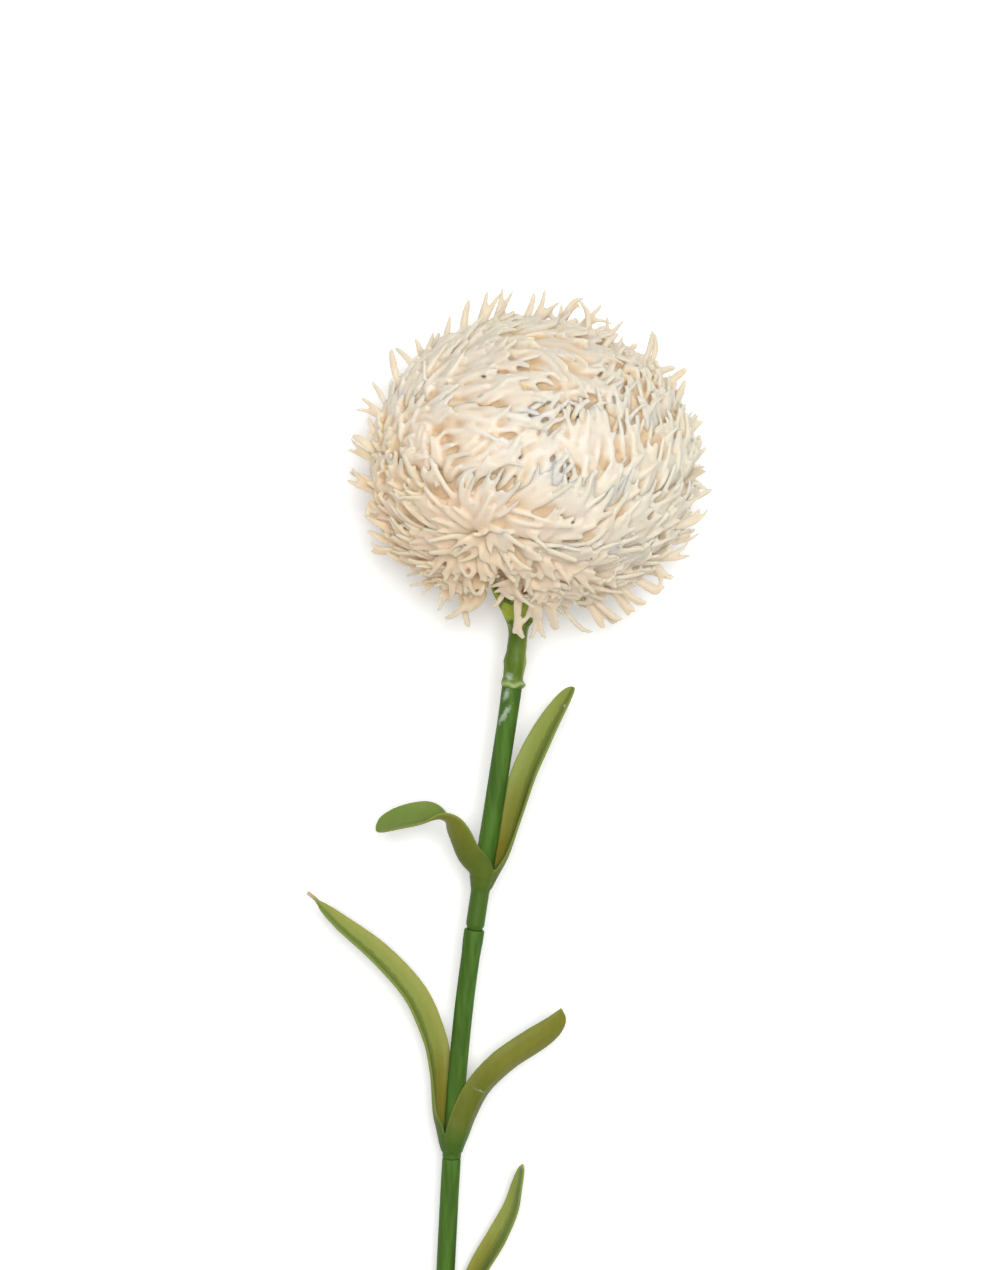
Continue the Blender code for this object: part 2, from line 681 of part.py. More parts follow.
def main():
    for old in list(bpy.data.objects):
        bpy.data.objects.remove(old)
    cream = make_material("cream_plastic", (0.86, 0.77, 0.64), 0.5)
    stem_green = make_material("stem_green_plastic", (0.07, 0.16, 0.035), 0.45)
    leaf_green = make_material("leaf_green_plastic", (0.19, 0.21, 0.035), 0.45)
    steel = make_material("steel_wire", (0.55, 0.55, 0.53), 0.4, 1.0)

    build_wire(steel)
    foot_top = LOWER_COLLAR_END_Y - GAP
    build_tube("stem_tube_foot", FOOT_Y, foot_top, TUBE_RADIUS, stem_green)
    lower_top = MIDDLE_COLLAR_END_Y - GAP
    build_tube("stem_tube_lower", LOWER_SEAT_Y + GAP, lower_top, TUBE_RADIUS, stem_green)
    middle_top = UPPER_COLLAR_END_Y - GAP
    build_tube("stem_tube_middle", MIDDLE_SEAT_Y + GAP, middle_top, TUBE_RADIUS, stem_green, SOCKET_RADIUS)
    upper_top = CALYX_END_Y - GAP
    build_tube("stem_tube_upper", UPPER_SEAT_Y + GAP, upper_top, UPPER_TUBE_RADIUS, stem_green)

    pairs = [
        ("leaf_pair_lower", LOWER_COLLAR_END_Y, LOWER_SEAT_Y, (LOWER_LEFT_LEAF, LOWER_RIGHT_LEAF)),
        ("leaf_pair_middle", MIDDLE_COLLAR_END_Y, MIDDLE_SEAT_Y, (MIDDLE_LEFT_LEAF, MIDDLE_RIGHT_LEAF)),
        ("leaf_pair_upper", UPPER_COLLAR_END_Y, UPPER_SEAT_Y, (UPPER_LEFT_LEAF, UPPER_RIGHT_LEAF)),
    ]
    for name, low, seat, leaves in pairs:
        build_leaf_pair(name, low, seat, leaves, leaf_green)

    build_calyx(leaf_green)
    build_head(cream)
    centre_on_origin()


main()
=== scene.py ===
"""Looks of an artificial pincushion flower: mouldings threaded on a wire, laid on a pale table.

Metres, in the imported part's frame: +Y runs up the stem to the head, +X right, +Z up from the table.
"""

import math
import random

import bpy
import numpy as np
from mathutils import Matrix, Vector, kdtree, noise


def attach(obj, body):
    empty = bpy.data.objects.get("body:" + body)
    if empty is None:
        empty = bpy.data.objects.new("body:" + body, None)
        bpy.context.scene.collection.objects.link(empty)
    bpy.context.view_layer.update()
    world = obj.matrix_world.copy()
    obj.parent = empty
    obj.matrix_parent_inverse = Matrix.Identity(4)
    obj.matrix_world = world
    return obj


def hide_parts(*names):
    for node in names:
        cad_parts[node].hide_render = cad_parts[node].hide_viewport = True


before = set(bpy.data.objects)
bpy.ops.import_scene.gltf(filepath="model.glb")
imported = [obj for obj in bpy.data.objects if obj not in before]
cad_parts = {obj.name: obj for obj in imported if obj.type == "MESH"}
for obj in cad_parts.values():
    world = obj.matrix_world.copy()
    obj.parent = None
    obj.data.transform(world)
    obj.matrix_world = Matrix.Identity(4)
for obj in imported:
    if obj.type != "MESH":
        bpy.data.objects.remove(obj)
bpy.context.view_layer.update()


# Core wire. Galvanised steel wire, drawn to size and nipped off with pliers. All the mouldings are
# threaded on it, so its line is the line of the whole stem. Only its cut end shows, at the foot.
MM = 0.001
WIRE_RADIUS = 0.9 * MM
WIRE_SIDES = 24
NIP_DEPTH = 0.35 * MM  # how much deeper the pliers' bite is at the middle than at the edge
RING_SPACING = 3 * MM  # points of the CAD wire that are nearer than this along Y make one ring


def ring_centres(node):
    """Centres of the rings of points that a CAD rod is made of, from the foot up."""
    points = sorted({tuple(round(c, 7) for c in v.co) for v in node.data.vertices}, key=lambda p: p[1])
    rings = [[points[0]]]
    for point in points[1:]:
        if point[1] - rings[-1][-1][1] > RING_SPACING:
            rings.append([])
        rings[-1].append(point)
    return [Vector(np.mean(ring, axis=0)) for ring in rings]


KNOTS = ring_centres(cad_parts["stem_wire"])
FOOT = KNOTS[0]
KNOT_SPACING = (KNOTS[-1].y - FOOT.y) / (len(KNOTS) - 1)
KNOTS = [2 * KNOTS[0] - KNOTS[1], *KNOTS, 2 * KNOTS[-1] - KNOTS[-2]]


def curve_weights(t):
    """Weights of four points in a row, for the smooth curve through them a share t past the second."""
    return (
        (-t + 2 * t**2 - t**3) / 2,
        (2 - 5 * t**2 + 3 * t**3) / 2,
        (t + 4 * t**2 - 3 * t**3) / 2,
        (t**3 - t**2) / 2,
    )


def stem_point(height):
    """Point of the stem's axis, on a smooth curve, at this height along Y above the wire's cut end."""
    place = height / KNOT_SPACING + 1
    i = min(max(math.floor(place), 1), len(KNOTS) - 3)
    t = min(max(place - i, 0), 1)
    point = sum((w * KNOTS[i - 1 + k] for k, w in enumerate(curve_weights(t))), Vector())
    return point + (place - i - t) * (KNOTS[i + 1] - KNOTS[i])


def stem_frame(height):
    """Centre, direction, right and up of the stem's section at this height."""
    step = 0.5 * MM
    along = (stem_point(height + step) - stem_point(height - step)).normalized()
    right = along.cross(Vector((0, 0, 1))).normalized()
    return stem_point(height), along, right, right.cross(along)


def stem_extent(node):
    """Lowest and highest height on the stem's axis, measured square to it, that a CAD node reaches."""
    heights = []
    for vertex in node.data.vertices:
        height = vertex.co.y - FOOT.y
        for _ in range(3):
            centre, along, _, _ = stem_frame(height)
            height += (vertex.co - centre).dot(along) * along.y
        heights.append(height)
    return min(heights), max(heights)


def steps(low, high, spacing):
    """Even values from low to high, at most spacing apart."""
    count = max(1, math.ceil((high - low) / spacing))
    return [low + (high - low) * i / count for i in range(count + 1)]


def band(first, second, count):
    """Quads between two closed rings of count points, given the index of each ring's first point."""
    return [
        (first + i, first + (i + 1) % count, second + (i + 1) % count, second + i) for i in range(count)
    ]


def ends(last, count):
    """Faces that close the first ring of count points and the last, which starts at this index."""
    return [tuple(reversed(range(count))), tuple(range(last, last + count))]


def turned(rows, sides, shape=None, frame_at=stem_frame):
    """Points and faces round an axis, one ring for each (height, radius) row, with no ends.

    shape(height, turn) multiplies the radius; turn is 0 to the right and a quarter circle below.
    """
    points, faces = [], []
    for number, (height, radius) in enumerate(rows):
        centre, _, right, up = frame_at(height)
        for i in range(sides):
            turn = 2 * math.pi * i / sides
            reach = radius * (shape(height, turn) if shape else 1)
            points.append(centre + reach * (math.cos(turn) * right - math.sin(turn) * up))
        if number:
            faces += band((number - 1) * sides, number * sides, sides)
    return points, faces


def make_piece(name, points, faces, material):
    mesh = bpy.data.meshes.new(name)
    mesh.from_pydata(points, [], faces)
    mesh.materials.append(material)
    mesh.shade_smooth()
    made = bpy.data.objects.new(name, mesh)
    bpy.context.scene.collection.objects.link(made)
    return made


def paint(code):
    """Linear colour of an sRGB hex code."""
    values = [int(code[i : i + 2], 16) / 255 for i in (1, 3, 5)]
    return (*(v / 12.92 if v <= 0.04045 else ((v + 0.055) / 1.055) ** 2.4 for v in values), 1)


def set_inputs(tree, node, inputs):
    """Gives a node's inputs their values: a number or colour to set, or a socket to link."""
    for key, value in inputs.items():
        if isinstance(value, bpy.types.NodeSocket):
            tree.links.new(value, node.inputs[key])
        else:
            node.inputs[key].default_value = value


def add_node(tree, kind, inputs=None, **settings):
    """Adds a node with its settings and inputs."""
    made = tree.nodes.new(kind)
    for name, value in settings.items():
        setattr(made, name, value)
    set_inputs(tree, made, inputs or {})
    return made


def new_material(name):
    """Material with its node tree, its Principled shader and a socket with the place on the object."""
    material = bpy.data.materials.new(name)
    material.use_nodes = True
    tree = material.node_tree
    places = add_node(tree, "ShaderNodeTexCoord").outputs["Object"]
    return material, tree, tree.nodes["Principled BSDF"], places


def mottle(tree, places, size, detail=2, output="Fac"):
    """Noise from 0 to 1, or a colour, with blotches of this size."""
    inputs = {"Vector": places, "Scale": 1 / size, "Detail": detail}
    return add_node(tree, "ShaderNodeTexNoise", inputs).outputs[output]


def blend(tree, factor, first, second):
    """Colour between two, each a hex code or a socket."""
    first, second = (paint(c) if isinstance(c, str) else c for c in (first, second))
    return add_node(tree, "ShaderNodeMix", {0: factor, 6: first, 7: second}, data_type="RGBA").outputs[2]


def bumps(tree, height, strength, depth):
    """Direction of the surface with this relief."""
    inputs = {"Height": height, "Strength": strength, "Distance": depth}
    return add_node(tree, "ShaderNodeBump", inputs).outputs[0]


# Zinc on drawn steel: a bright grey metal with fine lines along the wire, 0.1 mm apart as drawn here.
galvanised_steel, tree, shader, places = new_material("galvanised_steel_wire")
along_wire = add_node(tree, "ShaderNodeMapping", {"Vector": places, "Scale": (1, 0.02, 1)}).outputs[0]
lines = mottle(tree, along_wire, 0.1 * MM)
zinc = {"Base Color": blend(tree, lines, "#8E8F8C", "#C4C5C2"), "Metallic": 1, "Roughness": 0.38}
set_inputs(tree, shader, zinc | {"Normal": bumps(tree, lines, 0.2, 0.02 * MM)})

wire_top = (len(KNOTS) - 3) * KNOT_SPACING
wire_rows = [(NIP_DEPTH, 0.05 * MM), (NIP_DEPTH / 2, 0.55 * WIRE_RADIUS), (0, 0.9 * WIRE_RADIUS)]
wire_rows += [(height, WIRE_RADIUS) for height in steps(0.15 * MM, wire_top, 6 * MM)]
points, faces = turned(wire_rows, WIRE_SIDES)
faces += ends(len(points) - WIRE_SIDES, WIRE_SIDES)
wire = make_piece("core_wire", points, faces, galvanised_steel)
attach(wire, "root")
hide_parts("stem_wire")


# Stem tubes. Sleeves of green polyethylene, injection moulded in two halves, which leave a parting
# line on both sides, and pushed on the wire up to the leaf pair above. Cream paint from the head has
# spattered them.
TUBE_SIDES = 48
TUBE_GAP = 0.3 * MM  # between a tube's end and the moulding next to it
BORE_RADIUS = 1.2 * MM
PARTING_LINE_HEIGHT = 0.05 * MM
PARTING_LINE_WIDTH = math.radians(5)
TUBE_EDGE = 0.3 * MM
SOCKET_START, SOCKET_LENGTH = 4.5 * MM, 3 * MM  # how far below the upper end it widens, and is wide
TUBE_STEP = 4 * MM  # between the rings of points along it
STREAK_WIDTH = 1.5 * MM
# Radius at the lower end, along the tube and at the upper end.
TUBE_RADII = {
    "stem_tube_foot": (2.3 * MM, 2.3 * MM, 2.3 * MM),
    "stem_tube_lower": (2.25 * MM, 2.3 * MM, 2.3 * MM),
    "stem_tube_middle": (2.3 * MM, 2.3 * MM, 2.5 * MM),
    "stem_tube_upper": (2.35 * MM, 2.4 * MM, 2.45 * MM),
}
TUBE_ENDS = {name: stem_extent(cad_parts[name]) for name in TUBE_RADII}


def ramp(tree, value, start, end, low=0, high=1, kind="LINEAR"):
    """Value from low to high as another goes from start to end, and level outside."""
    inputs = {0: value, 1: start, 2: end, 3: low, 4: high}
    return add_node(tree, "ShaderNodeMapRange", inputs, interpolation_type=kind).outputs[0]


def reckon(tree, operation, *values):
    """Number that a Math node makes of others."""
    return add_node(tree, "ShaderNodeMath", dict(enumerate(values)), operation=operation).outputs[0]


def reckon_vector(tree, operation, inputs, output="Vector"):
    """Vector, or value, that a Vector Math node makes of its inputs."""
    return add_node(tree, "ShaderNodeVectorMath", inputs, operation=operation).outputs[output]


def green_plastic(name, base, light, streak_length):
    """Moulded polyethylene, matt and slightly waxy, of an even colour with faint flow streaks."""
    material, tree, shader, places = new_material(name)
    stretch = {"Vector": places, "Scale": (1, STREAK_WIDTH / streak_length, 1)}
    stretched = add_node(tree, "ShaderNodeMapping", stretch).outputs[0]
    streaks = ramp(tree, mottle(tree, stretched, STREAK_WIDTH, 3), 0.35, 0.65, kind="SMOOTHSTEP")
    return material, tree, shader, places, blend(tree, streaks, base, light)


def spatter(tree, places, colour, cell, share, radius, seed_offset):
    """Ragged spots of cream paint of up to this radius over a colour, in this share of the cells."""
    offset = {"Vector": places, "Location": (seed_offset, 0, 0)}
    moved = add_node(tree, "ShaderNodeMapping", offset).outputs[0]
    ragged = mottle(tree, places, 0.6 * MM, output="Color")
    ragged = reckon_vector(tree, "SCALE", {0: ragged, 3: 0.35 * MM})
    moved = reckon_vector(tree, "ADD", {0: moved, 1: ragged})
    spots = add_node(tree, "ShaderNodeTexVoronoi", {"Vector": moved, "Scale": 1 / cell}).outputs
    chosen = add_node(tree, "ShaderNodeSeparateColor", {"Color": spots["Color"]}).outputs[0]
    size = ramp(tree, chosen, 1 - share, 1, 0, radius / cell)
    near = reckon(tree, "SUBTRACT", size, spots["Distance"])
    thin = reckon(tree, "MULTIPLY", ramp(tree, near, 0, 0.12 * MM / cell), 0.75)
    return blend(tree, thin, colour, "#CDD2BE")


def smear(tree, places, colour, height, off, length, width, lean, rise=2 * MM):
    """A thin, broken smear of dried glue in front of the stem, this far above the wire's cut end."""
    centre, _, right, up = stem_frame(height)
    spot = {
        "Vector": places,
        "Location": tuple(centre + off * right + rise * up),
        "Rotation": (0, 0, lean),
        "Scale": (width, length, 3 * MM),
    }
    mapped = add_node(tree, "ShaderNodeMapping", spot, vector_type="TEXTURE").outputs[0]
    apart = reckon_vector(tree, "LENGTH", {0: mapped}, "Value")
    broken = reckon(tree, "MULTIPLY_ADD", mottle(tree, places, 0.7 * MM, 3), 1.6, apart)
    return blend(tree, ramp(tree, broken, 2.0, 1.15, 0, 0.7), colour, "#B9C6B4")


def finish_plastic(tree, shader, places, colour, roughness, grain, depth):
    """Links the colour and a fine moulded grain, and sets what is the same all over polyethylene."""
    relief = bumps(tree, mottle(tree, places, grain, 4), 0.35, depth)
    set_inputs(tree, shader, {"Normal": relief, "Base Color": colour, "Roughness": roughness})
    set_inputs(tree, shader, {"IOR": 1.51, "Specular IOR Level": 0.22})


stem_polyethylene, tree, shader, places, colour = green_plastic(
    "moulded_polyethylene_stem", "#40621C", "#4E7424", 30 * MM
)
colour = spatter(tree, places, colour, 5.5 * MM, 0.45, 0.5 * MM, 0.01)
colour = smear(tree, places, colour, 230.5 * MM, -1.2 * MM, 1.7 * MM, 0.7 * MM, -0.35)
colour = smear(tree, places, colour, 225.5 * MM, -0.9 * MM, 3.0 * MM, 0.7 * MM, -0.55)
finish_plastic(tree, shader, places, colour, 0.62, 0.8 * MM, 0.06 * MM)


def parting_line(height, turn):
    """Radius, as a share, of a tube with its two raised parting lines, left and right."""
    off = abs(math.sin(turn)) / math.sin(PARTING_LINE_WIDTH)
    wander = 0.006 * noise.noise(Vector((60 * height, math.cos(turn), math.sin(turn))))
    return 1 + PARTING_LINE_HEIGHT / (2.3 * MM) * max(0, 1 - off) + wander


def tube_rows(low, high, low_radius, radius, high_radius):
    """Outer rows of a tube, with rounded edges at its ends and a socket at the upper one."""
    edge = [(TUBE_EDGE * (1 - math.cos(a)), TUBE_EDGE * (1 - math.sin(a))) for a in (0.2, 0.7, 1.57)]
    rows = [(low + up, low_radius - back) for up, back in edge]
    rows += [(y, radius) for y in steps(low + 5 * MM, high - 7 * MM, TUBE_STEP)]
    rows += [(high - SOCKET_START, (radius + high_radius) / 2), (high - SOCKET_LENGTH, high_radius)]
    rows += [(high - up, high_radius - back) for up, back in reversed(edge)]
    return rows


def shifted(faces, start):
    """The faces, for points that are added after this many others."""
    return [tuple(start + i for i in face) for face in faces]


def hollow(outer, inner, shape=None):
    """Points and faces of a bored moulding on the stem: its outer rows upward, its bore's downward."""
    points, faces = turned(outer, TUBE_SIDES, shape)
    bore_points, bore_faces = turned(inner, TUBE_SIDES)
    start = len(points)
    points += bore_points
    faces += shifted(bore_faces, start)
    faces += band(start - TUBE_SIDES, start, TUBE_SIDES)
    faces += band(len(points) - TUBE_SIDES, 0, TUBE_SIDES)
    return points, faces


for name, radii in TUBE_RADII.items():
    outer = tube_rows(*TUBE_ENDS[name], *radii)
    inner = [(outer[-1][0], BORE_RADIUS), (outer[0][0], BORE_RADIUS)]
    points, faces = hollow(outer, inner, parting_line)
    tube = make_piece(name.replace("stem_tube", "tube"), points, faces, stem_polyethylene)
    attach(tube, "root")
    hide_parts(name)


# Leaf pairs. Each is one moulding in softer, waxier polyethylene: a collar that slides on the wire and
# two leaves that sheathe the tube above. The leaves are thick, channelled and rounded at the edges,
# coloured olive over green by the painter, and bent by hand.
COLLAR_RADIUS = 2.35 * MM
COLLAR_FLARE_RADIUS = 3.3 * MM
COLLAR_FLARE_LENGTH = 3.5 * MM
# The tube below each pair, the tube above it, and the radius of its collar's lower end, which stands
# on the tube below; the upper pair has a narrow spigot.
COLLARS = {
    "leaf_pair_lower": ("stem_tube_foot", "stem_tube_lower", 2.25 * MM),
    "leaf_pair_middle": ("stem_tube_lower", "stem_tube_middle", 2.35 * MM),
    "leaf_pair_upper": ("stem_tube_middle", "stem_tube_upper", 1.98 * MM),
}
LEAF_THICKNESS = 0.85 * MM
LEAF_EDGE_THICKENING = 0.35  # share by which the rounded edges are thicker than the middle
LEAF_ROOT_RADIUS = 2.3 * MM
LEAF_WRAP_RADIUS = 3.5 * MM
LEAF_ROOT_DEPTH = 2.6 * MM
LEAF_WRAP_HEIGHT = 1.6 * MM
LEAF_WRAP_ANGLE = math.radians(78)
LEAF_TIP_WIDTH = 0.6 * MM
LEAF_SIDES = 36
LEAF_ROW_PARTS = 10
LEAF_FOLD = 0.4 * MM  # depth of the crease along it
LEAF_FOLD_WIDTH = 0.16
LEAF_VOXEL = 0.26 * MM
LEAF_SMOOTHING = 5
# What each point is labelled with: its share along, its way to the side painted as lit, whether it is on
# the upper face (1) or the lower (-1), and how near the edge.
LABELS = ("along", "lit", "layer", "edge")


def smooth_rows(rows, parts):
    """Rows of vectors and numbers, with parts - 1 more on a smooth curve between each two."""
    made = [rows[0]]
    for i in range(len(rows) - 1):
        four = [rows[max(i - 1, 0)], rows[i], rows[i + 1], rows[min(i + 2, len(rows) - 1)]]
        for part in range(1, parts + 1):
            a, b, c, d = curve_weights(part / parts)
            made.append([a * p + b * q + c * r + d * s for p, q, r, s in zip(*four)])
    return made


def leaf_rows(seat, leaf):
    """Rows of (middle point, upper face's direction, curl, half width) from root to tip."""
    centre, along, right, up = stem_frame(seat)
    root_turn = math.radians(leaf["root_turn"])
    outward = math.cos(root_turn) * right + math.sin(root_turn) * up
    rows = []
    for height, radius in ((-LEAF_ROOT_DEPTH, LEAF_ROOT_RADIUS), (LEAF_WRAP_HEIGHT, LEAF_WRAP_RADIUS)):
        middle = centre + height * along + radius * outward
        rows.append([middle, -outward, 1 / radius, LEAF_WRAP_ANGLE * radius])
    spine = leaf["spine"]
    for i, (offset, face) in enumerate(spine):
        share = (i + 1) / len(spine)
        curl = 1 / (LEAF_WRAP_RADIUS + (leaf["curl_radius"] - LEAF_WRAP_RADIUS) * min(1, 2 * share))
        rows.append([centre + MM * Vector(offset), Vector(face), curl, leaf["half_width"]])
    return rows


def leaf_blade(rows, wave, bluntness=None, nub=0.0, lean=0.0, fold_at=0.0, lit_side=1):
    """Points, faces and labels of one leaf: share along, way to its lit side, upper or lower, edge.

    Its width goes to nothing the later the blunter it is, with a nub of flash left at the very tip,
    and the tip leans to one edge.
    """
    points, faces, labels = [], [], []
    for i, (middle, face, curl, half_width) in enumerate(rows):
        share = i / (len(rows) - 1)
        before, after = rows[max(i - 1, 0)][0], rows[min(i + 1, len(rows) - 1)][0]
        along = (after - before).normalized()
        face = (face - face.dot(along) * along).normalized()
        side = along.cross(face)
        if bluntness:
            taper = math.sqrt(1 - min(1, share / (1 - nub)) ** bluntness)
            turn = curl * half_width * lean * (1 - taper)
            middle = middle + (math.sin(turn) * side + (1 - math.cos(turn)) * face) / curl
            half_width = max(half_width * taper, LEAF_TIP_WIDTH)
        half_width *= 1 + 0.05 * noise.noise(Vector((wave, 4 * share, 0)))
        fold = LEAF_FOLD * math.sin(math.pi * min(1, 1.1 * share)) ** 0.5
        for corner in range(LEAF_SIDES):
            q = 2 * math.pi * corner / LEAF_SIDES
            across = math.copysign(abs(math.cos(q)) ** 0.6, math.cos(q))
            layer = math.copysign(abs(math.sin(q)) ** 0.6, math.sin(q))
            thickness = LEAF_THICKNESS * (1 + LEAF_EDGE_THICKENING * across**4) * (1 - 0.3 * share**6)
            turn = curl * half_width * across
            out = math.sin(turn) * side - math.cos(turn) * face
            crease = fold * math.exp(-(((across - fold_at) / LEAF_FOLD_WIDTH) ** 2))
            ripple = 0.25 * MM * across**2 * noise.noise(Vector((wave + across, 7 * share, 1)))
            reach = 1 / curl - layer * thickness / 2 + crease + ripple * min(1, 3 * share)
            points.append(middle + face / curl + reach * out)
            tan_share = share if nub else min(share, 0.94)
            labels.append((tan_share, lit_side * (across - fold_at), layer, abs(across)))
        if i:
            faces += band((i - 1) * LEAF_SIDES, i * LEAF_SIDES, LEAF_SIDES)
    faces += ends((len(rows) - 1) * LEAF_SIDES, LEAF_SIDES)
    return points, faces, labels


# The six leaves, by pair: where the root stands round the stem (0 right, 90 up from the table), the
# radius across which the leaf is curled, half its width, how blunt its tip is and to which edge it
# leans, where across it the crease runs (-1 and 1 are its edges, beyond them is none) and which side of
# that is painted lighter as lit, and its line as (right, along, up) from the seat in mm with the
# direction that its upper face looks in.
LEAVES = {
    "leaf_pair_upper": [
        {
            "root_turn": 122, "curl_radius": 6.0 * MM, "half_width": 4.5 * MM,
            "blade": {"bluntness": 8.0, "lean": -0.25, "fold_at": -1.5, "lit_side": -1},
            "spine": [
                ((-4.5, 6.0, 5.0), (0.55, 0.25, -0.8)), ((-6.7, 10.9, 6.4), (0.55, 0.55, -0.62)),
                ((-9.1, 14.6, 7.0), (0.35, 0.9, -0.15)), ((-13.8, 15.6, 6.4), (0.1, 0.75, 0.65)),
                ((-20.4, 14.8, 4.9), (0.0, 0.6, 0.8)), ((-26.7, 13.1, 3.0), (-0.1, 0.6, 0.8)),
            ],
        },
        {
            "root_turn": -28, "curl_radius": 5.5 * MM, "half_width": 4.4 * MM,
            "blade": {"bluntness": 3.2, "lean": 0.75, "fold_at": 0.42, "lit_side": -0.6},
            "spine": [
                ((5.8, 7.2, -0.9), (-0.8, 0.1, 0.6)), ((8.3, 17.2, 0.0), (-0.6, 0.1, 0.8)),
                ((10.9, 26.3, 0.8), (-0.55, 0.1, 0.83)), ((14.7, 35.5, 1.4), (-0.55, 0.1, 0.83)),
                ((18.9, 43.6, 1.6), (-0.6, 0.2, 0.75)), ((21.4, 48.4, 1.4), (-0.6, 0.3, 0.7)),
            ],
        },
    ],
    "leaf_pair_middle": [
        {
            "root_turn": 205, "curl_radius": 5.0 * MM, "half_width": 4.4 * MM,
            "blade": {"bluntness": 4.6, "nub": 0.045, "lean": 0.3, "fold_at": -0.4, "lit_side": 1},
            "spine": [
                ((-3.7, 7.4, -2.2), (0.8, 0.0, 0.6)), ((-4.1, 18.8, -1.9), (0.65, 0.1, 0.75)),
                ((-6.0, 27.4, -1.1), (0.6, 0.2, 0.75)), ((-10.4, 37.2, 0.0), (0.5, 0.35, 0.78)),
                ((-18.9, 47.0, 1.4), (0.4, 0.45, 0.8)), ((-28.5, 54.9, 2.4), (0.35, 0.5, 0.8)),
                ((-37.3, 62.2, 3.2), (0.35, 0.5, 0.8)),
            ],
        },
        {
            "root_turn": 48, "curl_radius": 5.5 * MM, "half_width": 4.9 * MM,
            "blade": {"bluntness": 4.6, "lean": 0.9, "fold_at": 0.0, "lit_side": 1},
            "spine": [
                ((4.2, 6.6, 3.4), (-0.65, 0.15, -0.74)), ((7.7, 13.6, 4.4), (-0.6, 0.3, -0.74)),
                ((13.2, 19.6, 5.2), (-0.4, 0.45, -0.8)), ((20.2, 24.5, 5.6), (-0.3, 0.42, -0.86)),
                ((25.6, 27.7, 6.0), (-0.3, 0.36, -0.88)), ((30.0, 31.0, 6.4), (-0.3, 0.3, -0.9)),
            ],
        },
    ],
    "leaf_pair_lower": [
        {
            "root_turn": 122, "curl_radius": 6.0 * MM, "half_width": 3.6 * MM,
            "blade": {"bluntness": 6.0, "fold_at": 0.0, "lit_side": 1},
            "spine": [
                ((-3.8, 5.4, 4.8), (0.6, 0.2, -0.8)), ((-7.0, 8.8, 6.2), (0.6, 0.55, -0.6)),
                ((-12.0, 11.2, 6.8), (0.4, 0.9, -0.15)), ((-18.0, 11.8, 6.4), (0.1, 0.85, 0.5)),
                ((-25.0, 10.8, 5.2), (0.0, 0.8, 0.6)), ((-32.0, 8.8, 3.6), (-0.1, 0.75, 0.65)),
            ],
        },
        {
            "root_turn": -28, "curl_radius": 4.6 * MM, "half_width": 3.6 * MM,
            "blade": {"bluntness": 4.0, "nub": 0.012, "lean": 0.4, "fold_at": 0.15, "lit_side": -1},
            "spine": [
                ((5.2, 6.6, -1.0), (-0.8, 0.1, 0.6)), ((10.2, 16.6, -0.4), (-0.65, 0.25, 0.75)),
                ((14.6, 24.4, 0.4), (-0.65, 0.2, 0.75)), ((17.8, 31.4, 1.2), (-0.75, 0.1, 0.65)),
                ((19.2, 38.1, 2.0), (-0.85, 0.1, 0.55)), ((20.0, 43.2, 2.6), (-0.85, 0.1, 0.5)),
            ],
        },
    ],
}

# Waxy polyethylene: stem green at the root, olive brown on the channelled upper face near the root,
# sage and yellow green further out, and a tan tip where the mould was filled. Painted light: on the
# upper face one side of the crease is painted lighter as lit and the other darker as shaded, the crease
# gets painted shade, and the rounded edges a pale painted highlight.
leaf_polyethylene, tree, shader, places, colour = green_plastic(
    "moulded_polyethylene_leaf", "#6C7122", "#7C812E", 25 * MM
)
along, lit, layer, edge = (
    add_node(tree, "ShaderNodeAttribute", attribute_name=name).outputs["Fac"] for name in LABELS
)
wandering = ramp(tree, mottle(tree, places, 14 * MM), 0, 1, -0.22, 0.22)
place = reckon(tree, "ADD", along, wandering)
outer_part = ramp(tree, place, 0.3, 0.62)
# Painted light and shade: one side of the crease is painted lighter, as lit, the other darker, as
# shaded.
painted_lit_side = blend(tree, outer_part, "#877C22", "#96A353")
painted_lit_side = blend(tree, ramp(tree, lit, 0.6, 1.3, 0, 0.8), painted_lit_side, "#ADA84E")
painted_shaded_side = blend(tree, outer_part, "#5C6A26", "#728C42")
inner_face = blend(tree, ramp(tree, lit, -0.05, 0.3), painted_shaded_side, painted_lit_side)
# Painted shade darkens the crease between the two sides.
crease = ramp(tree, reckon(tree, "ABSOLUTE", lit), 0.02, 0.22, 0.55, 0)
inner_face = blend(tree, crease, inner_face, "#6C6E2A")
outer_face = blend(tree, outer_part, "#5F6A20", "#7F7F2A")
sides = blend(tree, ramp(tree, layer, -0.3, 0.3), outer_face, inner_face)
colour = blend(tree, 0.75, colour, sides)
# Painted highlight: the rounded edges are painted paler.
colour = blend(tree, ramp(tree, edge, 0.82, 0.98, 0, 0.4), colour, "#93A24C")
colour = blend(tree, ramp(tree, place, 0.02, 0.24, 1, 0), colour, "#48681F")
colour = blend(tree, ramp(tree, along, 0.95, 0.985), colour, "#C4AF84")
# On one leaf the root's edge is rolled over and shows the plastic's own tan.
at_root, at_edge = ramp(tree, along, 0.44, 0.36), ramp(tree, lit, -2.1, -2.2, 0, 0.8)
colour = blend(tree, reckon(tree, "MULTIPLY", at_edge, at_root), colour, "#B99C6C")
colour = spatter(tree, places, colour, 6.5 * MM, 0.3, 0.6 * MM, 0.05)
# The weld line across one leaf, where two flows of plastic met in the mould.
colour = smear(tree, places, colour, 131.5 * MM, 6.7 * MM, 0.34 * MM, 2.6 * MM, -0.45, 6 * MM)
finish_plastic(tree, shader, places, colour, 0.5, 1.1 * MM, 0.05 * MM)
set_inputs(tree, shader, {"Subsurface Weight": 0.12, "Subsurface Radius": (0.4, 1.0, 0.15)})
shader.inputs["Subsurface Scale"].default_value = 0.8 * MM


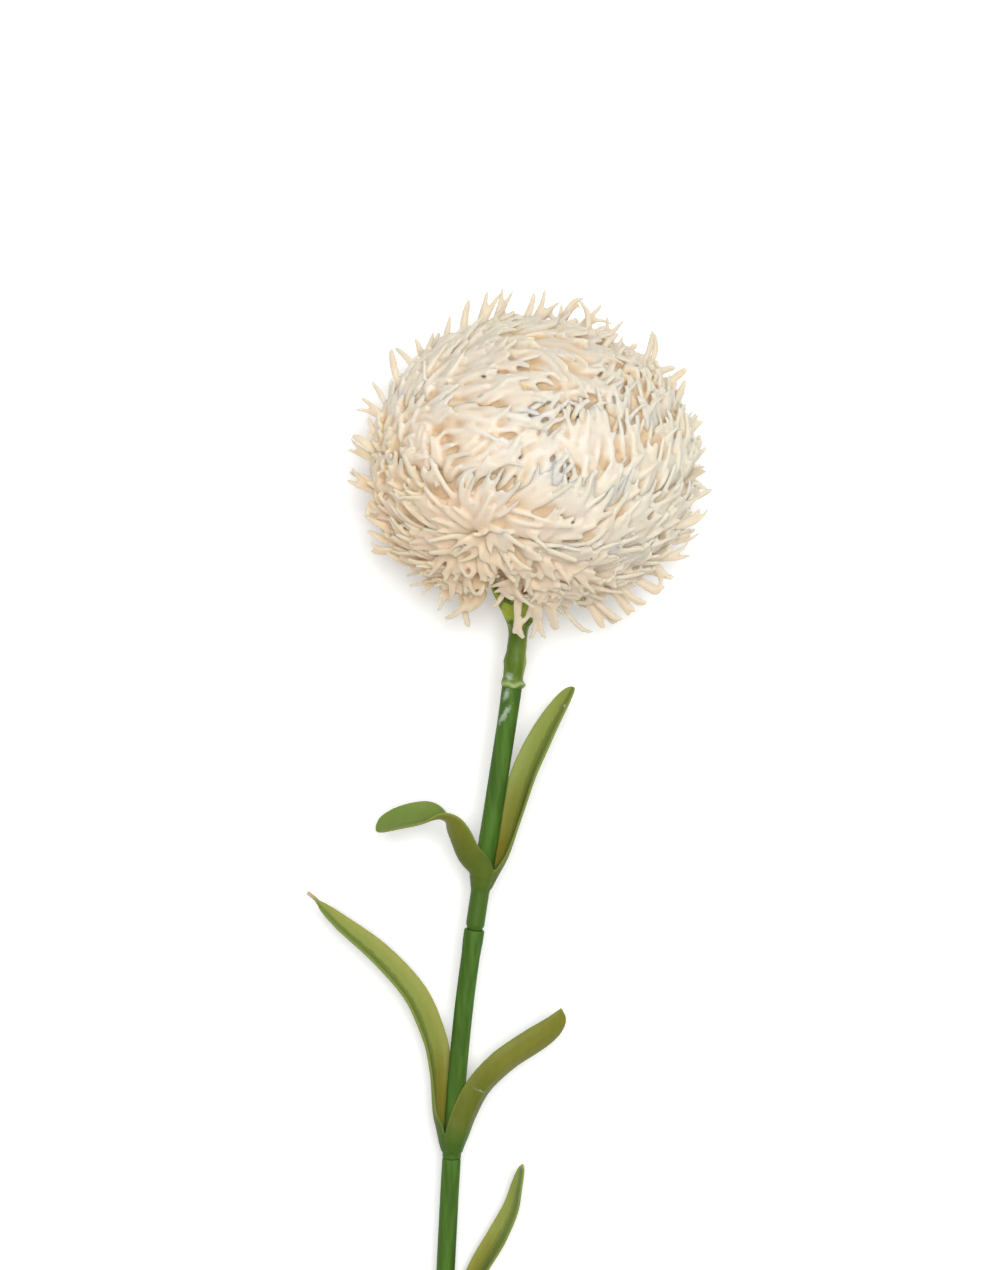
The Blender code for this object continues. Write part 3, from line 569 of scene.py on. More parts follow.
def collar_shell(low, seat, waist):
    """Points and faces of the collar round the wire, from the tube below to the seat of the next."""
    flare = min(COLLAR_FLARE_LENGTH, (seat - low) / 2)
    outer = [(low - TUBE_GAP, waist), (low + 0.3 * MM, waist + 0.05 * MM)]
    outer += [(low + 0.8 * MM, COLLAR_RADIUS)]
    outer += [(height, COLLAR_RADIUS) for height in steps(low + 1 * MM, seat - flare, 1 * MM)]
    outer += [(seat - flare / 2, COLLAR_RADIUS + 0.45 * MM), (seat, COLLAR_FLARE_RADIUS)]
    return hollow(outer, [(seat, BORE_RADIUS), (low - TUBE_GAP, BORE_RADIUS)])


def melt(piece, voxel, smoothing, most_triangles=None):
    """Melts a piece's overlapping shells into one skin and thins it, to half or to a number."""
    remesh = piece.modifiers.new("melt", "REMESH")
    remesh.mode = "VOXEL"
    remesh.voxel_size = voxel
    smooth = piece.modifiers.new("smooth", "SMOOTH")
    smooth.factor = 0.5
    smooth.iterations = smoothing
    bpy.context.view_layer.objects.active = piece
    for name in [modifier.name for modifier in piece.modifiers]:
        bpy.ops.object.modifier_apply(modifier=name)
    thin = piece.modifiers.new("thin", "DECIMATE")
    thin.ratio = min(1, most_triangles / (2 * len(piece.data.polygons))) if most_triangles else 0.5
    bpy.ops.object.modifier_apply(modifier=thin.name)
    piece.data.validate()
    piece.data.shade_smooth()


def melt_labelled(piece, labels, voxel, smoothing):
    """Melts a piece's shells into one skin, then gives each point of it the nearest label."""
    nearby = kdtree.KDTree(len(piece.data.vertices))
    for vertex in piece.data.vertices:
        nearby.insert(vertex.co, vertex.index)
    nearby.balance()
    melt(piece, voxel, smoothing)
    nearest = [nearby.find(vertex.co)[1] for vertex in piece.data.vertices]
    for column, name in enumerate(LABELS):
        attribute = piece.data.attributes.new(name, "FLOAT", "POINT")
        attribute.data.foreach_set("value", [labels[i][column] for i in nearest])


for name, leaves in LEAVES.items():
    below, above, waist = COLLARS[name]
    low, seat = TUBE_ENDS[below][1] + TUBE_GAP, TUBE_ENDS[above][0] - TUBE_GAP
    points, faces = collar_shell(low, seat, waist)
    labels = [(0.0, 0.0, -1.0, 0.0)] * len(points)
    for number, leaf in enumerate(leaves):
        rows = smooth_rows(leaf_rows(seat, leaf), LEAF_ROW_PARTS)
        wave = 10 * number + low / MM
        blade_points, blade_faces, blade_labels = leaf_blade(rows, wave, **leaf["blade"])
        faces += shifted(blade_faces, len(points))
        points += blade_points
        labels += blade_labels
    pair = make_piece(name.replace("leaf_pair", "leaves"), points, faces, leaf_polyethylene)
    melt_labelled(pair, labels, LEAF_VOXEL, LEAF_SMOOTHING)
    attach(pair, "root")
    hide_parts(name)


# Calyx. The last green moulding on the wire: a neck with lumps and a ragged ring of flash where the
# mould closed badly, then a cup that the head is pressed and glued into, ringed by six sepals.
CALYX_LOW = TUBE_ENDS["stem_tube_upper"][1] + TUBE_GAP
# Outline of neck and cup in mm: height above the calyx's lower end, and radius.
CALYX_OUTLINE = [
    (-0.9, 2.5), (-0.5, 2.75), (0.6, 2.75), (1.7, 2.4), (3.2, 2.55), (5.5, 2.7),
    (8.5, 2.4), (12.5, 2.35), (15.0, 2.9), (18.0, 4.2), (22.5, 6.7),
]
CALYX_OUTLINE = [(height * MM, radius * MM) for height, radius in CALYX_OUTLINE]
CUP_FLOOR = 15.6 * MM
CUP_WALL = 0.9 * MM
SEPAL_COUNT = 6
SEPAL_LENGTH = 10.5 * MM
SEPAL_HALF_WIDTH = 2.7 * MM
FLASH_HEIGHT = 0.1 * MM
FLASH_DEPTH = 0.4 * MM
FLASH_INSIDE = 2.48 * MM  # where it hangs over the tube's end
CALYX_VOXEL = 0.22 * MM
CALYX_SMOOTHING = 3


def flash_height(rightward, downward):
    """Height of the flash above the calyx's lower end. It sags in front, a little to the right."""
    front = max(0.0, -downward)
    sag = 0.7 * MM * front * math.exp(-(((rightward - 0.15) / 0.4) ** 2))
    return FLASH_HEIGHT - sag + 0.15 * MM * front


def lumps(height, turn):
    """Radius, as a share, of the calyx's neck with its lumps and its ragged ring of flash."""
    above = height - CALYX_LOW
    place = Vector((math.cos(turn), math.sin(turn), 0))
    lump = 0.07 * noise.noise(1.6 * place + Vector((0, 0, above / (2.4 * MM))))
    ragged = 0.6 + 0.75 * place.x + 0.9 * noise.noise(1.3 * place + Vector((5, 0, 0)))
    off = (above - flash_height(place.x, place.y)) / ((0.45 + 0.15 * place.x) * MM)
    flash = FLASH_DEPTH / (2.6 * MM) * max(0.1, ragged) * math.exp(-(off**2))
    seam = 0.05 * max(0, 1 - abs(place.y) / 0.12)
    return 1 + (lump + seam) * min(1, max(0, above) / (2 * MM)) + flash


def sepal_rows(number):
    """Rows of (middle point, upper face's direction, curl, half width) of a sepal on the cup's rim."""
    low_height, low_radius = CALYX_OUTLINE[-3]
    rim_height, rim_radius = CALYX_OUTLINE[-1]
    centre, along, right, up = stem_frame(CALYX_LOW + low_height)
    turn = 2 * math.pi * (number + 0.5) / SEPAL_COUNT
    outward = math.cos(turn) * right + math.sin(turn) * up
    rise = ((rim_height - low_height) * along + (rim_radius - low_radius) * outward).normalized()
    inward = (outward.dot(rise) * rise - outward).normalized()
    rows = []
    for share, width in ((0.0, 0.3), (0.3, 0.85), (0.55, 1.0), (0.8, 0.62), (0.95, 0.22), (1.0, 0.08)):
        lift = 1.0 * MM * share**2
        middle = centre + (low_radius - 0.3 * MM) * outward + share * SEPAL_LENGTH * rise - lift * inward
        rows.append([middle, inward, 1 / (4.5 * MM), width * SEPAL_HALF_WIDTH])
    return rows


calyx_polyethylene, tree, shader, places, colour = green_plastic(
    "moulded_polyethylene_calyx", "#56701F", "#698030", 12 * MM
)
along, ring, seam = (
    add_node(tree, "ShaderNodeAttribute", attribute_name=name).outputs["Fac"]
    for name in ("along", "layer", "edge")
)
olive = reckon(tree, "MULTIPLY", ramp(tree, mottle(tree, places, 2.2 * MM), 0.38, 0.52), along)
for factor, code in ((olive, "#A3AE3A"), (ring, "#A0B674"), (seam, "#8FA548")):
    colour = blend(tree, factor, colour, code)
colour = spatter(tree, places, colour, 4 * MM, 0.45, 1.1 * MM, 0.02)
colour = smear(tree, places, colour, 235 * MM, -1.1 * MM, 1.1 * MM, 1.0 * MM, 0.5)
finish_plastic(tree, shader, places, colour, 0.5, 0.9 * MM, 0.08 * MM)

outer = [(CALYX_LOW + height, radius) for height, radius in smooth_rows(CALYX_OUTLINE, 4)]
cup = [(height, radius - CUP_WALL) for height, radius in outer if height > CALYX_LOW + CUP_FLOOR]
neck = [
    (CALYX_LOW - 0.9 * MM, FLASH_INSIDE),
    (CALYX_LOW - 0.1 * MM, FLASH_INSIDE),
    (CALYX_LOW - 0.05 * MM, BORE_RADIUS),
    (CALYX_LOW + CUP_FLOOR, BORE_RADIUS),
]
inner = [*neck, *cup][::-1]
points, faces = hollow(outer, inner, lumps)
labels = []
for point in points:
    above = point.y - FOOT.y - CALYX_LOW
    centre, _, right, up = stem_frame(CALYX_LOW + above)
    off, lifted = (point - centre).dot(right), (point - centre).dot(up)
    sag = flash_height(off / (2.7 * MM), -lifted / (2.7 * MM))
    flashy = math.exp(-(((above - sag) / (0.55 * MM)) ** 2))
    seam = 1.0 if 2.15 * MM < off and 2 * MM < above < CUP_FLOOR else 0.0
    labels.append((max(0, (above - 12 * MM) / (8 * MM)), 0.0, flashy, seam))
for number in range(SEPAL_COUNT):
    rows = smooth_rows(sepal_rows(number), 4)
    blade_points, blade_faces, _ = leaf_blade(rows, 50 + number)
    faces += shifted(blade_faces, len(points))
    points += blade_points
    labels += [(1.0, 0.0, 0.0, 0.0)] * len(blade_points)
calyx = make_piece("cup_and_sepals", points, faces, calyx_polyethylene)
melt_labelled(calyx, labels, CALYX_VOXEL, CALYX_SMOOTHING)
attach(calyx, "root")
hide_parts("calyx")


# Petal core. A ball of cream polyethylene, coloured brown as painted shade for the deepest gaps, that
# holds the petals' roots and ends below in the peg that is glued in the calyx's cup.
CORE_RADIUS = 30 * MM
CORE_HALF_HEIGHT = 26 * MM
CORE_SIDES = 48
HEAD_ABOVE_WIRE = 28 * MM  # from the wire's top to the middle of the head
PEG_OUTLINE = [(-36.5 * MM, 1.8 * MM), (-32.3 * MM, 4.6 * MM), (-27 * MM, 7.6 * MM)]

head_centre, pole, head_right, head_up = stem_frame(wire_top + HEAD_ABOVE_WIRE)


def head_frame(height):
    """Centre, pole, right and up of the head's section this far poleward of its middle."""
    return head_centre + height * pole, pole, head_right, head_up


# Painted shade: brown over cream in patches 4 mm across, dull, standing for the shade deep in the head.
painted_shade_polyethylene, tree, shader, places = new_material("painted_shade_brown_polyethylene")
brown = ramp(tree, mottle(tree, places, 4 * MM, 4), 0.3, 0.5)
colour = blend(tree, brown, "#B57A40", "#DDB98A")
finish_plastic(tree, shader, places, colour, 0.55, 1.5 * MM, 0.2 * MM)

core_rows = list(PEG_OUTLINE)
for i in range(1, 20):
    angle = math.radians(-60 + 150 * i / 20)
    core_rows.append((CORE_HALF_HEIGHT * math.sin(angle), CORE_RADIUS * math.cos(angle)))
points, faces = turned(core_rows, CORE_SIDES, frame_at=head_frame)
faces += ends(len(points) - CORE_SIDES, CORE_SIDES)
core = make_piece("petal_core", points, faces, painted_shade_polyethylene)
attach(core, "root")
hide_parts("flower_head")


# Petals. Rings of cream polyethylene stacked on the ball, each moulded with its straps, which fork
# into two or three prongs, then softened with heat so that straps that touch melt together, and
# combed over by hand. Above, the prongs are pointed; the ones that hang over the calyx end round.
SHELL = Vector((40.2 * MM, 35.4 * MM, 39.2 * MM))  # half axes of the ball that the straps lie on
HEAD_REACH = np.array((45.8, 44.3, 43.6)) * MM  # half axes of the ball that no tip leaves
FLOOR_LEVEL = 0.94  # outer face of the rings, as a share of the shell's half axes
RING_INSIDE = 0.8
RING_SIDES = 120
PETAL_COUNT = 1150
UNDERCOAT_COUNT = 300
PETAL_THICKNESS = 1.35 * MM
PRONG_WIDTH = 1.8 * MM
GOLDEN_ANGLE = math.pi * (3 - math.sqrt(5))
LENGTH = 15 * MM  # of the part of a petal that shows
LEAST_RISE = 0.05  # sine of the least angle at which a tip leaves the ball
TABLE_CLEARANCE = 1.1 * MM
MELT_VOXEL = 0.44 * MM
MELT_SMOOTHING = 4
MOST_TRIANGLES = 185_000  # in a row, after the flattest are joined

# Where the camera is. The petals that it sees are given by where they show in the picture.
CAMERA_HEIGHT = 1.0
PICTURE_MIDDLE = (17.45 * MM, 245.25 * MM)  # right of the wire's cut end, and above it
EYE = Vector((FOOT.x + PICTURE_MIDDLE[0], FOOT.y + PICTURE_MIDDLE[1], CAMERA_HEIGHT))


def from_picture(right, above, nearer):
    """Vector measured in the picture, the way to the eye last, turned into the head's own frame."""
    measured = Vector((right, above, nearer))
    return Vector([measured.dot(axis) for axis in (head_right, pole, head_up)])


def in_shell(point):
    """The point in shares of the shell's half axes, so that the shell is the unit ball."""
    return Vector([point[i] / SHELL[i] for i in range(3)])


def seen_at(right, above, nearer):
    """Head-frame point seen at a spot of the picture, measured at the height of the head's middle."""
    spot = Vector((right, above, 0))
    ray = EYE - head_centre - spot
    return from_picture(*(spot + nearer / ray.z * ray))


def on_ball(right, above):
    """Unit vector of the place on the shell that is seen at a spot of the picture."""
    start, step = seen_at(right, above, 0), seen_at(right, above, 1) - seen_at(right, above, 0)
    start, step = in_shell(start), in_shell(step)
    along, across = start.dot(step) / step.length_squared, start.length_squared - 1
    nearer = math.sqrt(max(0, along**2 - across / step.length_squared)) - along
    return (start + nearer * step).normalized()


# How the petals were combed, seen from above the table: (right, above) in mm from the middle of the
# head in the picture, the heading of the tips there in degrees (0 right, 90 up the picture), and how
# far they point up at the eye.
COMBED_IN_FRONT = [
    # Crown's edge, from left to right.
    (-34, 18, 100, 15), (-30, 24, 108, 10), (-22, 29.5, 72, 10), (-13.8, 33, 56, 5), (-5, 35, 55, 0),
    (2.6, 35, 62, 0), (9.6, 34.5, 35, 5), (14.8, 33.5, 72, 5), (21.5, 30, 50, 10), (29.4, 24.5, 82, 10),
    # Right edge, downwards.
    (36.5, 15.5, 52, 5), (39.8, 7, 62, 10), (40.4, -4, 8, 10), (39, -10, 28, 5), (35.5, -17, 14, 5),
    # Upper left, with its arcs round small hollows.
    (-28, 21, 105, 35), (-20, 27, 40, 25), (-11.5, 23.7, 18, 15), (-2.1, 25.4, -5, 12),
    (-9, 30, 48, 20), (-13.8, 16, 28, 12), (-5.6, 12, -8, 8), (-21.4, 12.6, -38, 15),
    (-16, 6.2, -28, 10),
    # Upper right, falling away to the right.
    (6, 30.5, -45, 15), (9, 25.4, -64, 8), (3.1, 19.6, -14, 8), (11.9, 20.2, -70, 10),
    (17.8, 26, 42, 10), (23.6, 19, 62, 12), (29.4, 21, 70, 12),
    # Round the eye: strands that stand up along its right.
    (-1, 2, 76, 12), (6, 4.4, 80, 8), (11.9, 9, 82, 8), (16.6, 12.6, 96, 12), (21.8, 7, 100, 14),
    (28.3, 10, 76, 12), (35, 7.3, 70, 14), (11.9, -4.3, 72, 10), (20.7, -4.3, 75, 18),
    (32.4, -4.3, 42, 20),
    # Left, with stubby fingers that point up.
    (-29.6, 5.6, 100, 35), (-24.3, -0.3, 62, 25), (-11.5, -0.8, 25, 14), (-39, 10, 125, 10),
    (-40.3, 4, 140, 10), (-40.2, -5, 138, 10), (-39, -10, 190, 10),
    # Lower left: long parallel strands that point left.
    (-21.4, -9, 164, 12), (-30, -10.2, 175, 12), (-26, -16.6, 166, 10), (-16, -17.8, 186, 12),
    (-36, -15, 160, 5), (-33, -20.5, 160, 5), (-28, -25, 180, 5),
    # Lower right: strands that sweep right.
    (6, -10.2, 42, 14), (-2.1, -12, 12, 18), (-11.5, -10.8, 36, 16), (17.8, -13, 50, 14),
    (26.5, -13, 25, 16), (28.3, -20.5, 20, 10), (20.7, -23, 18, 10), (10.7, -20, -8, 14),
    (2, -19, -38, 16), (32, -21.5, -12, 5), (26, -27, -20, 5), (19.5, -31, -32, 5), (13, -33.5, -42, 5),
    # Skirt in front of the calyx: straps that hang straight down.
    (-6.8, -19, -62, 16), (-13.8, -26, -100, 10), (-2.7, -27.7, -90, 12), (6, -28.9, -76, 12),
    (15.4, -29.5, -36, 8), (-22, -29.5, -150, 5), (-17, -32, -102, 5), (-11, -34, -95, 5),
    (0, -35.2, -88, 5),
]
# The same round the sides and the back, as (place on the head, way of the tips), right, towards the
# pole and up.
COMBED_BEHIND = [
    ((-1.0, 0.3, -0.3), (-0.8, 0.6, -0.1)), ((-1.0, -0.4, -0.3), (-0.9, -0.1, 0.1)),
    ((1.0, 0.3, -0.3), (0.8, 0.6, -0.1)), ((1.0, -0.4, -0.3), (0.9, 0.1, 0.0)),
    ((0.0, 1.0, -0.3), (0.2, 1.0, -0.3)), ((-0.6, 0.8, -0.4), (-0.3, 1.0, -0.2)),
    ((0.6, 0.8, -0.4), (0.6, 0.8, -0.2)), ((0.0, 0.5, -0.85), (0.2, 0.95, -0.2)),
    ((0.0, -0.1, -1.0), (-0.5, 0.85, -0.05)), ((0.6, 0.0, -0.8), (0.8, 0.6, -0.1)),
    ((-0.6, 0.0, -0.8), (-0.8, 0.6, -0.1)), ((0.0, -0.6, -0.8), (0.3, -0.7, -0.3)),
    ((0.6, -0.6, -0.5), (0.8, -0.5, -0.2)), ((-0.6, -0.6, -0.5), (-0.8, -0.5, -0.2)),
    ((0.0, -1.0, -0.2), (0.0, -1.0, -0.3)),
]


def combing_anchors():
    """Places on the unit ball, and unit directions of the tips there, as two arrays."""
    places, flows = [], []
    for right, above, heading, lift in COMBED_IN_FRONT:
        places.append(on_ball(right * MM, above * MM))
        heading, lift = math.radians(heading), math.radians(lift)
        flat = math.cos(lift)
        flows.append(from_picture(math.cos(heading) * flat, math.sin(heading) * flat, math.sin(lift)))
    for place, flow in COMBED_BEHIND:
        places.append(place)
        flows.append(flow)
    places, flows = np.array(places, float), np.array(flows, float)
    return (
        places / np.linalg.norm(places, axis=1)[:, None],
        flows / np.linalg.norm(flows, axis=1)[:, None],
    )


ANCHOR_PLACES, ANCHOR_FLOWS = combing_anchors()


def combed(normal):
    """Direction of the tips at this place on the head, blended from the nearest anchors."""
    apart = np.linalg.norm(ANCHOR_PLACES - np.array(normal), axis=1)
    total = (ANCHOR_FLOWS / (apart**4 + 0.0008)[:, None]).sum(axis=0)
    return Vector(total).normalized()


def forked_strap(dice, prong_count, width, blunt, fork, spread):
    """Cage of a forked strap: rows of (share, across, thick) points, and its quads.

    share runs from root to tip; across and thick are in metres. A strap has one column of quads for
    each prong, and the columns part at the fork.
    """
    points, faces = [], []
    half_thick = PETAL_THICKNESS / 2

    def pair(share, across, thin=1.0):
        """Adds the lower and upper point at a place, and returns the lower one's index."""
        points.append((share, across, -half_thick * thin))
        points.append((share, across, half_thick * thin))
        return len(points) - 2

    rows = []
    for share, wide in ((0.0, 0.8), (fork * 0.6, 1.0), (fork, 1.15)):
        across = [(j / prong_count - 0.5) * width * wide for j in range(prong_count + 1)]
        rows.append([pair(share, place) for place in across])
    for here, there in zip(rows, rows[1:]):
        for j in range(prong_count):
            a, b, c, d = here[j], there[j], there[j + 1], here[j + 1]
            faces.append((a + 1, b + 1, c + 1, d + 1))
            faces.append((d, c, b, a))
        faces.append((here[0] + 1, here[0], there[0], there[0] + 1))
        faces.append((here[-1], here[-1] + 1, there[-1] + 1, there[-1]))
    for j in range(prong_count):
        faces.append((rows[0][j], rows[0][j] + 1, rows[0][j + 1] + 1, rows[0][j + 1]))
    longest = dice.randrange(prong_count)
    for j in range(prong_count):
        end = 1 if j == longest else dice.uniform(0.8, 0.98)
        lean = (j - (prong_count - 1) / 2) * spread + dice.uniform(-0.3, 0.3) * width / prong_count
        root_middle = ((j + 0.5) / prong_count - 0.5) * width * 1.15
        prong = width / prong_count * dice.uniform(0.85, 1.1)
        ring = [rows[-1][j], rows[-1][j + 1], rows[-1][j + 1] + 1, rows[-1][j] + 1]
        if blunt:
            outline = ((0.4, 0.95, 1.0), (0.85, 0.95, 1.0), (1.0, 0.72, 0.9))
        else:
            outline = ((0.35, 0.95, 1.0), (0.75, 0.8, 0.95), (1.0, 0.36, 0.75))
        for part, wide, thin in outline:
            share = fork + (end - fork) * part
            middle = root_middle + lean * part**1.5
            left = pair(share, middle - wide * prong / 2, thin)
            right = pair(share, middle + wide * prong / 2, thin)
            fresh = [left, right, right + 1, left + 1]
            for k in range(4):
                faces.append((ring[k], ring[(k + 1) % 4], fresh[(k + 1) % 4], fresh[k]))
            ring = fresh
        faces.append(tuple(ring))
    return np.array(points), faces


def bend_strap(strap, route, facing, roll, twist, sickle, cup):
    """Places a strap's points along the curve of four route points in the head's frame.

    Its flat side faces out of the ball, or the way that facing gives, turned by roll and twist.
    """
    share, across, thick = strap.T
    s = share[:, None]
    a, b, c, d = (np.array(point) for point in route)
    line = (1 - s) ** 3 * a + 3 * s * (1 - s) ** 2 * b + 3 * s**2 * (1 - s) * c + s**3 * d
    tangent = (1 - s) ** 2 * (b - a) + 2 * s * (1 - s) * (c - b) + s**2 * (d - c)
    out = line / np.array(SHELL) ** 2 if facing is None else np.array(facing)
    side = np.cross(tangent, out)
    side /= np.linalg.norm(side, axis=1)[:, None]
    normal = np.cross(side, tangent)
    normal /= np.linalg.norm(normal, axis=1)[:, None]
    turn = (roll + twist * (share - 0.6))[:, None]
    side, face = np.cos(turn) * side + np.sin(turn) * normal, np.cos(turn) * normal - np.sin(turn) * side
    across = (across + 2.4 * sickle * np.maximum(0, share - 0.35) ** 2)[:, None]
    thick = (thick + cup * np.maximum(0, share - 0.5) ** 2)[:, None]
    return line + across * side + thick * face


def above_table(points, clearance):
    """Row-frame points, eased up where they come nearer the table than the clearance."""
    low = points[:, 2] < 3 * clearance
    height = points[low, 2]
    points[low, 2] = clearance * (0.25 + 2.75 * np.exp((height / clearance - 3) / 2.75))
    return points


class PetalRow:
    """Petals that are moulded as one piece: their points and faces so far."""

    def __init__(self):
        self.points, self.faces, self.count = [], [], 0

    def add(self, faces, placed):
        self.points.append(placed)
        self.faces += [tuple(self.count + i for i in face) for face in faces]
        self.count += len(placed)


HEAD_AXES = np.array((head_right, pole, head_up))
dice = random.Random(7)
# The rings and the lower and upper end of each, as a share of the shell's half axis along the pole.
RINGS = {"crown": (0.45, 1.0), "upper": (0.0, 0.45), "lower": (-0.45, 0.0), "skirt": (-0.9, -0.45)}
petal_rows = {name: PetalRow() for name in RINGS}
# In front of the calyx the coat ends at this height below the head's middle. On the left it leaves the
# cup free.
SKIRT_END = 32 * MM
CALYX_WINDOW = 13 * MM
CUP_SHOWS_BELOW = 29.5 * MM
CUP_LEFT, CUP_RIGHT = -10.5 * MM, -2.5 * MM
# Pits in the rings, which no petal covers, where the floor sinks deep and is painted brown as shade:
# right of and above the head's middle in the picture, and radius.
PITS = [(-5.4 * MM, 1.0 * MM, 1.3 * MM), (-1.0 * MM, -8.1 * MM, 1.1 * MM)]
PITS = [(on_ball(right, above), radius) for right, above, radius in PITS]


def floor_level(place):
    """Level of a ring's outer face on the unit ball: uneven, with pits, and cut back by the cup."""
    level = FLOOR_LEVEL + 0.02 * noise.noise(6 * place) + 0.008 * noise.noise(15 * place)
    if place.z > 0:
        for pit, radius in PITS:
            apart = (place - pit).length * SHELL.x
            level -= 0.1 * math.exp(-((apart / radius) ** 4))
        beside = abs(place.x * SHELL.x - (CUP_LEFT + CUP_RIGHT) / 2) / (6 * MM)
        level -= 0.12 * math.exp(-(beside**4)) * min(1, max(0, (-0.7 - place.y) / 0.06))
    return level


def bares_pit(route):
    """Whether a petal along four route points would lie over a pit."""
    for i in range(4, 11):
        s = i / 10
        weights = ((1 - s) ** 3, 3 * s * (1 - s) ** 2, 3 * s**2 * (1 - s), s**3)
        point = sum((w * p for w, p in zip(weights, route)), Vector())
        place = in_shell(point).normalized()
        if any((place - pit).length * SHELL.x < 0.9 * radius for pit, radius in PITS):
            return True
    return False


def petal_ring(low, high):
    """Cage of a ring of the ball between two heights: its points in the head's frame, and its faces."""
    heights = [low + (high - low) * i / 24 for i in range(25)]
    section = [(height, None) for height in heights]
    section += [(height, RING_INSIDE) for height in reversed(heights)]
    points, faces = [], []
    for number, (height, level) in enumerate(section):
        for i in range(RING_SIDES):
            turn = 2 * math.pi * i / RING_SIDES
            radius = math.sqrt(max(0, 1 - height**2))
            place = Vector((radius * math.cos(turn), height, -radius * math.sin(turn)))
            place_on_shell = Vector([SHELL[k] * place[k] for k in range(3)])
            points.append((level or floor_level(place)) * place_on_shell)
        faces += band(number * RING_SIDES, (number + 1) % len(section) * RING_SIDES, RING_SIDES)
    return np.array(points), faces


ROOT_LEVEL = 0.88  # petals' roots lie in the rings


def at_level(point, level):
    """The point moved out or in until it lies at this share of the shell's half axes."""
    return point * level / in_shell(point).length


def plant(route, width, prongs, blunt, fork, facing=None, roll=0.0, sickle=0.0, spread=1.0):
    """Adds one petal along four route points, from its root in a ring to its tip."""
    strap, faces = forked_strap(dice, prongs, width, blunt, fork, spread * dice.uniform(0.3, 1.7) * MM)
    twist, cup = dice.gauss(0, 0.4), dice.uniform(-5, 4) * MM
    placed = bend_strap(strap, route, facing, roll, twist, sickle, cup)
    placed /= np.maximum(1, np.linalg.norm(placed / HEAD_REACH, axis=1))[:, None]
    placed = placed @ HEAD_AXES + np.array(head_centre)
    height = route[2].y / SHELL.y
    name = next((name for name, (low, _) in RINGS.items() if height > low), "skirt")
    petal_rows[name].add(faces, above_table(placed, TABLE_CLEARANCE))


def ball_places(count):
    """Unit vectors spread evenly over the whole ball on a golden spiral, pole first."""
    for i in range(count):
        height = 1 - 2 * (i + 0.5) / count
        radius = math.sqrt(1 - height**2)
        place = (radius * math.cos(i * GOLDEN_ANGLE), height, radius * math.sin(i * GOLDEN_ANGLE))
        yield (Vector(place) + Vector([dice.gauss(0, 0.02) for _ in range(3)])).normalized()


def lay(place, flow, length, body_level, tip_level, **petal):
    """Adds a petal on the ball, its middle at a place on the unit ball and its tip along flow."""
    rise = flow.dot(place)
    middle = Vector([SHELL[i] * place[i] for i in range(3)])
    along = (flow - rise * place) * length
    # It bends as the coat round it is combed.
    before = combed((place - 0.4 * along / SHELL.x).normalized())
    after = combed((place + 0.35 * along / SHELL.x).normalized())
    bend_in = 0.7 * (before - before.dot(flow) * flow) * length
    bend_out = 0.7 * (after - after.dot(flow) * flow) * length
    route = [
        at_level(middle - 0.55 * along - 0.35 * bend_in, ROOT_LEVEL),
        at_level(middle - 0.3 * along - 0.15 * bend_in, body_level),
        at_level(middle + 0.12 * along, body_level + 0.015 + 0.08 * rise * length / SHELL.y),
        at_level(middle + 0.45 * along + 0.3 * bend_out, tip_level + 0.12 * rise * length / SHELL.y),
    ]
    if bares_pit(route):
        return
    if place.z > 0 and route[3].y < -CUP_SHOWS_BELOW and CUP_LEFT < route[3].x < CUP_RIGHT:
        return
    if place.z > 0 and abs(route[3].x) < CALYX_WINDOW and route[3].y < -SKIRT_END:
        route[3].y = -SKIRT_END + 0.3 * (route[3].y + SKIRT_END)
        route[2].y = max(route[2].y, -SKIRT_END)
    plant(route, **petal)


# The combed coat. It is bare round the peg, and its petals hang where it is nearly so.
COAT_END, UNDERCOAT_END = -0.94, -0.9
HANGING_BELOW = -0.55
WORN_SIDE, WORN_DEPTH = -0.75, 0.035  # where on the left the coat is worn thin, and by how much
for place in ball_places(PETAL_COUNT):
    if place.y < COAT_END:
        continue
    flow = combed(place) + Vector([dice.gauss(0, 0.2) for _ in range(3)])
    flow += max(0, LEAST_RISE - flow.dot(place)) * place
    flow.normalize()
    hanging = place.y < HANGING_BELOW
    fingers = place.x < -0.5 and -0.3 < place.y < 0.35
    worn = WORN_DEPTH if place.x < WORN_SIDE else 0.0
    prongs = dice.choice((1, 2, 2, 3) if hanging else (1, 1, 1, 2, 2, 3))
    lay(
        place,
        flow,
        length=LENGTH * dice.uniform(0.7, 1.25) * (0.6 if fingers else 1),
        body_level=dice.uniform(0.965, 0.99) - worn / 2,
        tip_level=dice.choice((0.985, 0.99, 1.0, 1.02)) + dice.uniform(-0.01, 0.01) - worn,
        width=PRONG_WIDTH * prongs * dice.uniform(0.85, 1.1) * (1.1 if prongs == 1 else 1),
        prongs=prongs,
        blunt=dice.random() < (0.85 if hanging else 0.6),
        roll=dice.gauss(0, 0.25),
        fork=dice.uniform(0.32, 0.6),
        sickle=dice.gauss(0, 3.0) * MM,
    )

# The coat below, which lies flatter and every way.
for place in ball_places(UNDERCOAT_COUNT):
    if place.y < UNDERCOAT_END:
        continue
    flow = combed(place) + Vector([dice.gauss(0, 0.8) for _ in range(3)])
    flow += (0.03 - flow.dot(place)) * place
    flow.normalize()
    lay(
        place,
        flow,
        length=LENGTH * dice.uniform(0.8, 1.1),
        body_level=dice.uniform(0.945, 0.965),
        tip_level=dice.uniform(0.95, 0.975),
        width=PRONG_WIDTH * dice.uniform(2.0, 2.6),
        prongs=2,
        blunt=dice.random() < 0.5,
        roll=dice.gauss(0, 0.2),
        fork=dice.uniform(0.55, 0.7),
    )

